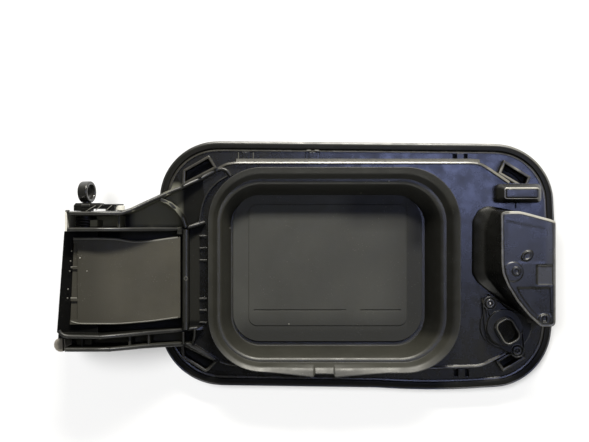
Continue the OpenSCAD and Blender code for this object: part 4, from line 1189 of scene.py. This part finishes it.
roomLight = {
    "up": (0.07, 0.07, 0.066), "front": (0.5, 0.5, 0.46), "back": (1.7, 1.66, 1.5),
    "leftShare": 0.6,  # of the horizon's light on the hinge side
    "sideShare": 0.25,  # of the horizon's light straight to either side
}


def makeWorld(setup):
    # Light by direction: a dim ceiling, a horizon that is brighter behind the door than in front,
    # dimmer to the sides, and dimmer on the hinge side.
    world = bpy.data.worlds.new("studio")
    bpy.context.scene.world = world
    world.use_nodes = True
    tree = world.node_tree
    coord = tree.nodes.new("ShaderNodeTexCoord").outputs["Generated"]
    way = addNode(tree, "SeparateXYZ", {"Vector": coord}).outputs
    sideways = addNode(tree, "Math", {0: way["X"]}, operation="ABSOLUTE").outputs["Value"]

    def soft(source, low, high, least=0.0, most=1.0):
        return rangeOf(tree, source, low, high, least, most, "SMOOTHSTEP")

    horizon = mixOf(tree, soft(way["Y"], 0.05, 0.95), setup["front"], setup["back"])
    for share in (soft(way["X"], -0.7, 0.5, setup["leftShare"]),
                  soft(sideways, 0.35, 0.95, 1.0, setup["sideShare"])):
        horizon = mixOf(tree, 1.0, horizon, share, "MULTIPLY")
    whole = mixOf(tree, soft(way["Z"], 0.1, 0.75), horizon, setup["up"])
    feed(tree, tree.nodes["Background"].inputs["Color"], whole)


makeWorld(roomLight)

# The shadow sun lights the floor alone, so the part throws a soft shadow towards the lower right
floorLook = {"half": 3.0, "albedo": 0.25, "rough": 0.9, "glow": 0.39,
             "sunEnergy": 6.8, "sunWay": (0.34, -0.24, -1.0), "sunAngle": 24.0}


def makeFloor(look):
    half = look["half"]
    corners = [(-half, -half, 0), (half, -half, 0), (half, half, 0), (-half, half, 0)]
    mesh = bpy.data.meshes.new("studioFloor")
    mesh.from_pydata(corners, [], [(0, 1, 2, 3)])
    paper = bpy.data.materials.new("floorPaper")
    paper.use_nodes = True
    bsdf = paper.node_tree.nodes["Principled BSDF"]
    for key, value in (("Base Color", (look["albedo"],) * 3), ("Roughness", look["rough"]),
                       ("Emission Color", (1, 1, 1)), ("Emission Strength", look["glow"])):
        feed(paper.node_tree, bsdf.inputs[key], value)
    mesh.materials.append(paper)
    floor = linkNew("studioFloor", mesh)
    return floor


def makeShadowSun(look, floor):
    data = bpy.data.lights.new("shadowSun", "SUN")
    data.energy = look["sunEnergy"]
    data.angle = math.radians(look["sunAngle"])
    sun = linkNew("shadowSun", data)
    sun.rotation_euler = Vector(look["sunWay"]).to_track_quat("-Z", "Y").to_euler()
    sun.visible_glossy = False
    onlyFloor = bpy.data.collections.new("shadowReceivers")
    onlyFloor.objects.link(floor)
    sun.light_linking.receiver_collection = onlyFloor


makeShadowSun(floorLook, makeFloor(floorLook))
bpy.context.scene.view_settings.view_transform = "Standard"
print("studio done")
